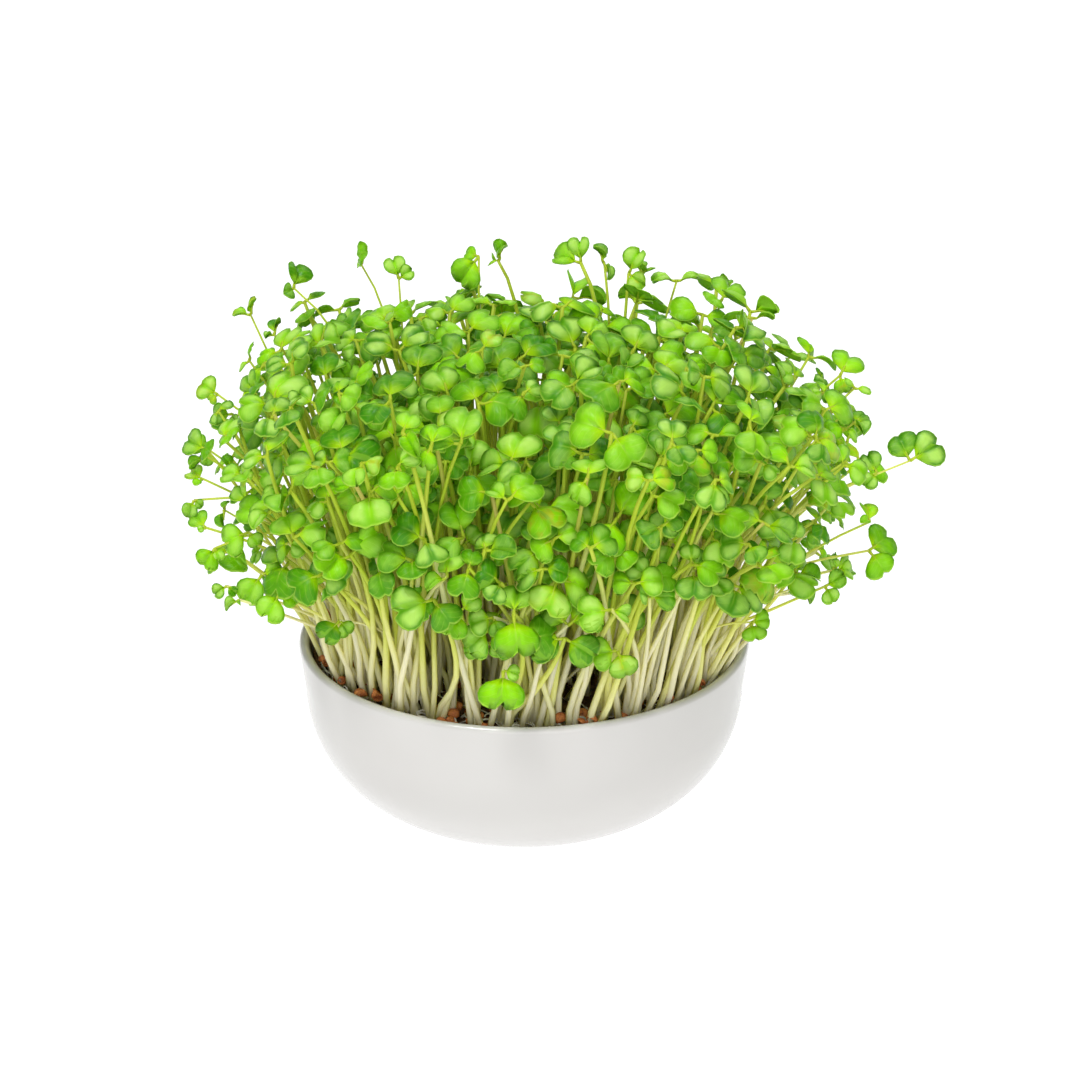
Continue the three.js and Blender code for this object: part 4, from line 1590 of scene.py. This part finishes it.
@dataclass
class SeedLeaf:
    """A heart-shaped seed leaf: two domed lobes with a crease between them, on a short stalk.

    Lengths are in millimetres, and the ranges are for the draws: how much wider or longer a leaf is, how
    deep its notch is, how full it is at its base, how high it bulges and how deep its crease is, how far it
    is folded up along the rib, and how it arches, waves and leans over to one side.
    """

    joiner: Joiner
    length: float = 11.3
    width: float = 13.5
    columns: int = 10
    rows: int = 3
    thickness: float = 0.32
    stalk_share: float = 0.19
    stalk_radius: float = 0.60
    widening: Range = (0.9, 1.06)
    lengthening: Range = (0.9, 1.08)
    notch: Range = (0.07, 0.27)
    base: Range = (0.5, 0.85)
    bulge: Range = (0.12, 0.22)
    cleft: Range = (0.15, 1.0)
    fold: Range = (-0.34, 0.26)
    closed_fold: Range = (0.4, 0.9)
    closed_share: float = 0.12
    arch: Range = (0.0, 0.5)
    wave: Range = (0.0, 0.045)
    skew: Range = (-0.06, 0.06)

    def __post_init__(self) -> None:
        """Makes the straight stalk."""
        self.stalk = Strand(self.joiner, 4, 4, 1)

    def add(self, whole: bmesh.types.BMesh, blade: Blade, tone: float, stream: RandomStream) -> None:
        """Adds one leaf.

        Args:
            whole: the mesh to add to; leaves take its first material and stalks its second.
            blade: where the leaf is and which way it looks.
            tone: its lightness, from 0 to 1.
            stream: random numbers for its form.
        """
        width = self.width * blade.size * stream.between(*self.widening)
        length = self.length * blade.size * stream.between(*self.lengthening)
        notch = stream.between(*self.notch) * min(1.0, 0.3 + 0.8 * blade.size)
        base = stream.between(*self.base)
        bulge, cleft = stream.between(*self.bulge), stream.between(*self.cleft)
        fold = stream.between(*(self.fold if stream.draw() > self.closed_share else self.closed_fold))
        if blade.fold is not None:
            fold = blade.fold
        lean = (math.cos(fold * 1.2), math.sin(fold * 1.2))
        arch = stream.between(*self.arch)
        # how strong the painted sheen on its lobes is
        sheen_share = stream.draw()
        wave, phase = stream.between(*self.wave), stream.between(*AROUND)
        skew = stream.between(*self.skew)

        def surface(across: float, along: float) -> tuple[float, float, float]:
            """Place on the blade from -1 to 1 across and 0 to 1 along, in millimetres."""
            bend = math.copysign(abs(across) ** 1.15, across) * math.pi / 2
            side = math.sin(bend)
            spread = 0.06 + 0.94 * math.sin(along * math.pi / 2) ** base
            edge = 0.52 + 0.48 * math.cos(bend) ** 0.75 - notch * math.exp(-((side / 0.16) ** 2))
            x = width * 0.5 * side * spread
            y = length * (self.stalk_share + (1 - self.stalk_share) * along * edge)
            lobes = cleft * math.sin(math.pi * abs(side) ** 0.8) + (1 - cleft) * math.cos(bend) ** 0.8
            dome = bulge * lobes * math.sin(math.pi * 0.9 * along**0.7)
            ripple = wave * math.sin(6 * bend + phase) * along**2
            z = width * (dome + ripple)
            x, z = x * lean[0] - math.copysign(z * lean[1] * 0.4, side), abs(x) * lean[1] + z * lean[0]
            return x + width * skew * along, y, z - length * arch * (y / length) ** 2

        def placed(x: float, y: float, z: float) -> np.ndarray:
            """A point of the leaf's own coordinates in the stand."""
            return blade.crown + blade.across * x + blade.along * y + blade.normal * z

        bm = bmesh.new()
        tones, alongs, acrosses, unders, sheen_shares = (
            bm.verts.layers.float.new(name) for name in ("tone", "along", "across", "under", "sheen_share")
        )
        bmesh.ops.create_grid(bm, x_segments=self.columns, y_segments=self.rows, size=1.0)
        for vert in bm.verts:
            across, along = vert.co.x, (vert.co.y + 1) / 2
            vert.co = placed(*surface(across, along))
            vert[tones], vert[alongs], vert[acrosses], vert[sheen_shares] = tone, along, across, sheen_share
        shell = bmesh.ops.solidify(bm, geom=list(bm.faces), thickness=self.thickness)
        for item in shell["geom"]:
            if isinstance(item, bmesh.types.BMVert):
                item[unders] = 1.0
        self.joiner.join(whole, bm)

        def rib(share: float) -> np.ndarray:
            """The stalk, which runs on as the rib under the blade."""
            y = 0.6 * length * share
            along = max(0.0, (y / length - self.stalk_share) / (1 - self.stalk_share) / (1 - notch))
            return placed(skew * width * along, y, surface(0.0, along)[2] * min(1.0, share * 3) - 0.25)

        self.stalk.add(
            whole,
            rib,
            lambda share: self.stalk_radius * (1 - 0.72 * share) * (0.75 + 0.25 * blade.size),
            {"tone": lambda share: tone * 0.6, "along": lambda share: 0.85},
            0.8,
        )


@dataclass
class Seedlings:
    """The seedlings of the whole stand, one piece for each tuft.

    A stem sways by millimetres and has a kink near its foot, and thickness is for 1 of its tapering radius.
    """

    stand: Stand
    joiner: Joiner
    sides: int = 5
    segments: int = 8
    foot_radius: float = 1.15
    neck_radius: float = 0.60
    sway: Range = (-1.7, 1.7)
    kink: Range = (-3.0, 3.0)
    thickness: Range = (0.82, 1.12)
    tone_spread: Range = (-0.12, 0.12)

    def __post_init__(self) -> None:
        """Makes what each seedling is shaped from."""
        self.leaf = SeedLeaf(self.joiner)
        self.stem = Strand(self.joiner, self.sides, self.segments, 1)

    def add_stem(self, bm: bmesh.types.BMesh, plant: Seedling, tone: float, stream: RandomStream) -> None:
        """Adds a seedling's stem, from under the soil to its leaves.

        Args:
            bm: the mesh to add to.
            plant: the seedling.
            tone: its lightness, from 0 to 1.
            stream: random numbers for its form.
        """
        aim = unit(plant.crown - plant.foot)
        right = unit(np.cross(np.array([0.0, 1.0, 0.0]), aim))
        back = np.cross(aim, right)
        sway = [stream.between(*self.sway) for _ in range(4)]
        kink = [stream.between(*self.kink) for _ in range(2)]
        thick = stream.between(*self.thickness) * plant.stout

        def curve(share: float) -> np.ndarray:
            """The stem's middle line."""
            point = along_stem(plant.foot, plant.bend, plant.crown, share)
            low = min(1.0, share / 0.35)
            near = math.sin(math.pi * low) * (1 - low)
            one, two = math.sin(math.pi * share), math.sin(2 * math.pi * share)
            point = point + right * (sway[0] * one + 0.6 * sway[1] * two + kink[0] * near)
            return point + back * (sway[2] * one + 0.6 * sway[3] * two + kink[1] * near)

        def radius(share: float) -> float:
            """The stem's radius, which tapers upwards."""
            return thick * (self.foot_radius + (self.neck_radius - self.foot_radius) * share**0.8)

        rise = float(plant.crown[2] - plant.foot[2])
        self.stem.add(
            bm, curve, radius, {"tone": lambda share: tone, "along": lambda share: share * rise / 100}
        )

    def build(self, leaf_green: bpy.types.Material, stem_white: bpy.types.Material) -> None:
        """Makes every tuft's piece.

        Args:
            leaf_green: the leaves' material.
            stem_white: the stems' and stalks' material.
        """
        for tuft in range(self.stand.tufts):
            bm = bmesh.new()
            stream = RandomStream(self.stand.seed * 7000 + tuft)
            for plant in self.stand.seedlings:
                if plant.tuft != tuft:
                    continue
                tone = stream.draw()
                self.add_stem(bm, plant, stream.draw(), stream)
                for blade in plant.blades:
                    shade = tone + stream.between(*self.tone_spread)
                    self.leaf.add(bm, blade, min(1.0, max(0.0, shade)), stream)
            name = f"seedlings_{tuft + 1:02d}"
            piece = Piece(name, Slot.SEEDLING, (leaf_green, stem_white))
            piece.finish(bm, f"seedling_tuft_{tuft + 1:02d}")


@dataclass
class Bowl:
    """A round bowl with a flat foot, a rounded side, a nearly upright wall and a round lip."""

    rim_radius: float = 70.0
    height: float = 56.0
    base_radius: float = 26.0
    shoulder_radius: float = 68.3
    shoulder_height: float = 41.0
    wall: float = 3.2
    floor: float = 4.5
    foot_width: float = 4.0
    foot_recess: float = 0.9
    around: int = 128

    def side(self, inset: float, low: float, turn: float) -> tuple[float, float]:
        """Radius and height on the rounded side.

        Args:
            inset: how far it lies in from the outside.
            low: its height at the bottom.
            turn: from 0 at the bottom to a quarter turn at the shoulder, in radians.

        Returns:
            The radius and the height.
        """
        radius = self.base_radius - inset + (self.shoulder_radius - self.base_radius) * math.sin(turn)
        return radius, self.shoulder_height - (self.shoulder_height - low) * math.cos(turn)

    def profile(self) -> list[tuple[float, float]]:
        """Radius and height along the wall, from the middle of the foot round the lip to the inner floor.

        Returns:
            The line, which starts and ends on the axis.
        """
        foot = self.base_radius - self.foot_width
        line = [(0.0, self.foot_recess), (foot - 1, self.foot_recess), (foot, 0.15), (foot + 0.5, 0.0)]
        line.append((self.base_radius - 0.8, 0.0))
        steps = 18
        line += [self.side(0, 0, (i + 0.25) / (steps + 0.25) * math.pi / 2) for i in range(steps + 1)]
        lip = self.wall / 2
        for i in range(9):
            turn = math.pi * i / 8
            out, up = lip * math.cos(turn), lip * math.sin(turn)
            line.append((self.rim_radius - lip + out, self.height - lip + up))
        line += [self.side(self.wall, self.floor, (1 - i / 12) * math.pi / 2) for i in range(13)]
        line.append((0.0, self.floor))
        return line

    def build(self, glaze: bpy.types.Material) -> None:
        """Makes the bowl.

        Args:
            glaze: its material.
        """
        bm = bmesh.new()
        spin_profile(bm, self.profile(), self.around)
        Piece("white_bowl", Slot.BOWL, (glaze,)).finish(bm, "bowl")


def spin_profile(bm: bmesh.types.BMesh, profile: list[tuple[float, float]], around: int) -> None:
    """Spins a line of radii and heights into a closed round solid.

    Args:
        bm: the empty mesh to fill.
        profile: the line, which starts and ends on the axis.
        around: how many steps a full turn has.
    """
    verts = [bm.verts.new((radius, 0.0, height)) for radius, height in profile]
    edges = [bm.edges.new(pair) for pair in zip(verts, verts[1:])]
    bmesh.ops.spin(
        bm,
        geom=verts + edges,
        cent=(0, 0, 0),
        axis=(0, 0, 1),
        angle=2 * math.pi,
        steps=around,
        use_merge=True,
    )
    bmesh.ops.remove_doubles(bm, verts=bm.verts, dist=1e-4)
    bmesh.ops.recalc_face_normals(bm, faces=bm.faces)


@dataclass
class SoilBed:
    """Dark potting soil with what lies on it: crumbs, split seed hulls and pale rootlets.

    Lengths are in millimetres. crumbs, hulls and rootlets are how many are tried for, and the higher an
    outward is, the nearer to the wall they lie. Hulls lie where the noise is high and heap up at the wall.
    """

    joiner: Joiner
    level: float = 51.0
    lump: float = 0.7
    edge: float = 65.6
    deep: float = 40.0
    around: int = 128
    rings: int = 34
    crumbs: int = 260
    hulls: int = 360
    rootlets: int = 380
    crumb_outward: float = 1.4
    crumb_size: Range = (0.5, 1.5)
    crumb_width: Range = (0.7, 1.4)
    crumb_depth: Range = (0.7, 1.3)
    crumb_height: float = 0.7
    hull_outward: float = 5.0
    hull_size: Range = (1.4, 2.2)
    hull_wall: float = 0.25
    hull_cut: Range = (-0.5, 0.2)
    hull_tilt: Range = (-1.5, 2.6)
    hull_depth: Range = (0.75, 0.95)
    hull_height: Range = (0.8, 1.0)
    hull_lift: Range = (0.3, 1.0)
    heap_start: float = 52.0
    heap_height: float = 3.6
    rootlet_outward: float = 3.5
    rootlet_length: Range = (5.0, 13.0)
    rootlet_curl: Range = (-1.6, 1.6)
    rootlet_hop: Range = (0.4, 2.6)
    rootlet_radius: Range = (0.18, 0.46)
    seed: int = 31

    def height_at(self, x: float, y: float) -> float:
        """Height of the soil's uneven surface.

        Args:
            x: the place to the right.
            y: the place to the back.

        Returns:
            The height.
        """
        swell = self.lump * math.sin(0.21 * x + 1) * math.cos(0.17 * y - 0.4)
        lumps = 0.8 * noise.noise(Vector((x, y, 0)) * 0.22) + 0.5 * noise.noise(Vector((x, y, 9)) * 0.6)
        return self.level + swell + lumps

    def build_bed(self, earth: bpy.types.Material) -> None:
        """Makes the soil itself.

        Args:
            earth: its material.
        """
        bm = bmesh.new()
        inner = [(self.edge * i / self.rings, self.level) for i in range(self.rings + 1)]
        outer = [(self.edge + 0.1, self.level - 4), (self.edge - 2.0, self.deep)]
        under = [(self.edge - 8, self.deep - 6), (0.0, self.deep - 8)]
        spin_profile(bm, inner + outer + under, self.around)
        for vert in bm.verts:
            if vert.co.z > self.level - 0.01:
                vert.co.z = self.height_at(vert.co.x, vert.co.y)
        Piece("soil_bed", Slot.SOIL, (earth,)).finish(bm, "potting_soil")

    def spot(self, stream: RandomStream, outward: float) -> tuple[float, float]:
        """A place on the soil; a higher outward brings it nearer to the wall.

        Args:
            stream: random numbers.
            outward: 1 for an even spread.

        Returns:
            The place.
        """
        radius = (self.edge - 1.2) * stream.draw() ** (0.5 / outward)
        turn = 2 * math.pi * stream.draw()
        return radius * math.cos(turn), radius * math.sin(turn)

    def build_crumbs(self, earth: bpy.types.Material) -> None:
        """Makes the crumbs of soil.

        Args:
            earth: their material.
        """
        bm = bmesh.new()
        stream = RandomStream(self.seed)
        for _ in range(self.crumbs):
            x, y = self.spot(stream, self.crumb_outward)
            size = stream.between(*self.crumb_size)
            made = bmesh.ops.create_icosphere(bm, subdivisions=1, radius=size)["verts"]
            wide, deep = stream.between(*self.crumb_width), stream.between(*self.crumb_depth)
            squash = Matrix.Diagonal((wide, deep, self.crumb_height, 1.0))
            turn = Matrix.Rotation(stream.between(*AROUND), 4, (0.3, 0.5, 0.8))
            place = Matrix.Translation((x, y, self.height_at(x, y) + 0.2 * size))
            bmesh.ops.transform(bm, matrix=place @ turn @ squash, verts=made)
            for vert in made:
                vert.co += noise.noise_vector(vert.co * 0.9) * 0.3 * size
        Piece("soil_crumbs", Slot.SOIL, (earth,)).finish(bm)

    def build_hulls(self, husk: bpy.types.Material) -> None:
        """Makes the split seed hulls, thin half shells.

        Args:
            husk: their material.
        """
        bm = bmesh.new()
        stream = RandomStream(self.seed + 1)
        for _ in range(self.hulls):
            x, y = self.spot(stream, self.hull_outward)
            crowd = noise.noise(Vector((x, y, 5.0)) * 0.085) + 0.05
            if crowd < 0.0:
                continue
            size = stream.between(*self.hull_size)
            hull = bmesh.new()
            bmesh.ops.create_uvsphere(hull, u_segments=8, v_segments=6, radius=size)
            bmesh.ops.bisect_plane(
                hull,
                geom=list(hull.verts) + list(hull.edges) + list(hull.faces),
                plane_co=(0, 0, stream.between(*self.hull_cut) * size),
                plane_no=(0.15, 0, 1),
                clear_inner=True,
            )
            bmesh.ops.solidify(hull, geom=list(hull.faces), thickness=self.hull_wall)
            tilt = Matrix.Rotation(stream.between(*AROUND), 4, "Z")
            tilt = tilt @ Matrix.Rotation(stream.between(*self.hull_tilt), 4, "X")
            deep, high = stream.between(*self.hull_depth), stream.between(*self.hull_height)
            squash = Matrix.Diagonal((1.0, deep, high, 1.0))
            past = max(0.0, math.hypot(x, y) - self.heap_start)
            heap = self.heap_height * past / (self.edge - self.heap_start)
            heap *= min(1.3, 0.5 + 3.0 * crowd)
            lift = self.height_at(x, y) + stream.between(*self.hull_lift) * (size + heap)
            place = Matrix.Translation((x, y, lift))
            bmesh.ops.transform(hull, matrix=place @ tilt @ squash, verts=hull.verts)
            for vert in hull.verts:
                vert.co += noise.noise_vector(vert.co * 0.5) * 0.25
            self.joiner.join(bm, hull)
        Piece("seed_hulls", Slot.SOIL, (husk,)).finish(bm)

    def build_rootlets(self, pale: bpy.types.Material) -> None:
        """Makes the pale rootlets that lie on the soil.

        Args:
            pale: their material.
        """
        bm = bmesh.new()
        stream = RandomStream(self.seed + 2)
        strand = Strand(self.joiner, 4, 6)
        for _ in range(self.rootlets):
            x, y = self.spot(stream, self.rootlet_outward)
            turn, length = stream.between(*AROUND), stream.between(*self.rootlet_length)
            curl, hop = stream.between(*self.rootlet_curl), stream.between(*self.rootlet_hop)
            wide = stream.between(*self.rootlet_radius)

            def curve(share: float) -> np.ndarray:
                """The rootlet's line, close over the soil."""
                angle = turn + curl * share
                px = x + length * share * math.cos(angle)
                py = y + length * share * math.sin(angle)
                away = math.hypot(px, py)
                fit = min(1.0, (self.edge - 1.5) / max(away, 1.0))
                px, py = px * fit, py * fit
                return np.array([px, py, self.height_at(px, py) + hop * math.sin(math.pi * share) + 0.1])

            strand.add(bm, curve, lambda share: wide * (1.1 - 0.7 * share), {})
        Piece("rootlets", Slot.SEEDLING, (pale,)).finish(bm)

    def build(self, earth: bpy.types.Material, husk: bpy.types.Material, pale: bpy.types.Material) -> None:
        """Makes the soil and everything on it.

        Args:
            earth: the material of the soil and its crumbs.
            husk: the hulls' material.
            pale: the rootlets' material.
        """
        self.build_bed(earth)
        self.build_crumbs(earth)
        self.build_hulls(husk)
        self.build_rootlets(pale)


@dataclass(frozen=True)
class Lamp:
    """A soft light from far away: the way that it comes from, its width in degrees and its strength."""

    name: str
    place: Place
    spread: float
    strength: float


@dataclass
class Studio:
    """The camera, the lights and the floor, in metres."""

    camera_place: Place = (0.0, -0.91305, 0.46385)
    camera_aim: Place = (0.00499, 0.01170, 0.08220)
    lens: float = 106.9
    sensor: float = 36.0
    ambient: float = 0.305
    backdrop: float = 1.05
    floor_size: float = 4.0
    floor_gap: float = 0.0005
    lamps: tuple[Lamp, ...] = (
        Lamp("overhead", (-0.25, -0.2, 1.9), 60.0, 0.65),
        Lamp("key", (-0.7, -0.8, 2.4), 16.0, 1.5),
        Lamp("back", (0.35, 1.2, 1.2), 35.0, 0.6),
        Lamp("fill", (0.15, -1.6, 0.55), 50.0, 1.15),
    )

    def build_camera(self) -> None:
        """Makes the camera at the photographed angle."""
        data = bpy.data.cameras.new("camera")
        data.lens, data.sensor_width = self.lens, self.sensor
        camera = bpy.data.objects.new("camera", data)
        bpy.context.scene.collection.objects.link(camera)
        camera.location = self.camera_place
        aim = Vector(self.camera_aim) - Vector(self.camera_place)
        camera.rotation_euler = aim.to_track_quat("-Z", "Y").to_euler()
        bpy.context.scene.camera = camera

    def build_lights(self) -> None:
        """Makes the lamps, and the light from all round with plain white behind the object."""
        for lamp in self.lamps:
            data = bpy.data.lights.new(lamp.name, "SUN")
            data.angle, data.energy = math.radians(lamp.spread), lamp.strength
            light = bpy.data.objects.new(lamp.name, data)
            bpy.context.scene.collection.objects.link(light)
            light.location = lamp.place
            light.rotation_euler = (-Vector(lamp.place)).to_track_quat("-Z", "Y").to_euler()
        world = bpy.data.worlds.new("studio")
        bpy.context.scene.world = world
        tree = ShaderTree(world)
        seen = tree.node("ShaderNodeLightPath", {}, {}, "Is Camera Ray")
        strength = seen * (self.backdrop - self.ambient) + self.ambient
        shade = tree.node("ShaderNodeBackground", {}, {"Color": WHITE, "Strength": strength})
        tree.finish(shade, "ShaderNodeOutputWorld")

    def build_floor(self) -> None:
        """Makes the floor."""
        bm = bmesh.new()
        bmesh.ops.create_grid(bm, x_segments=2, y_segments=2, size=self.floor_size)
        mesh = bpy.data.meshes.new("floor")
        bm.to_mesh(mesh)
        bm.free()
        mesh.materials.append(StudioFinish().material())
        floor = bpy.data.objects.new("floor", mesh)
        floor.location.z = -self.floor_gap
        bpy.context.scene.collection.objects.link(floor)

    def build(self) -> None:
        """Makes the whole studio."""
        self.build_camera()
        self.build_floor()
        self.build_lights()
        bpy.context.scene.view_settings.view_transform = "Standard"


def main() -> None:
    """Builds the studio and the object, piece by piece."""
    logging.basicConfig(level=logging.INFO, format="%(name)s: %(message)s")
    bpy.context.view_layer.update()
    Studio().build()
    Bowl().build(GlazeFinish().material())
    joiner = Joiner()
    SoilBed(joiner).build(POTTING_EARTH.material(), SEED_HUSK.material(), ROOTLET.material())
    stand = Stand()
    stand.fill_in()
    LOG.info("%d seedlings", len(stand.seedlings))
    Seedlings(stand, joiner).build(LeafFinish().material(), StemFinish().material())


if __name__ == "__main__":
    main()
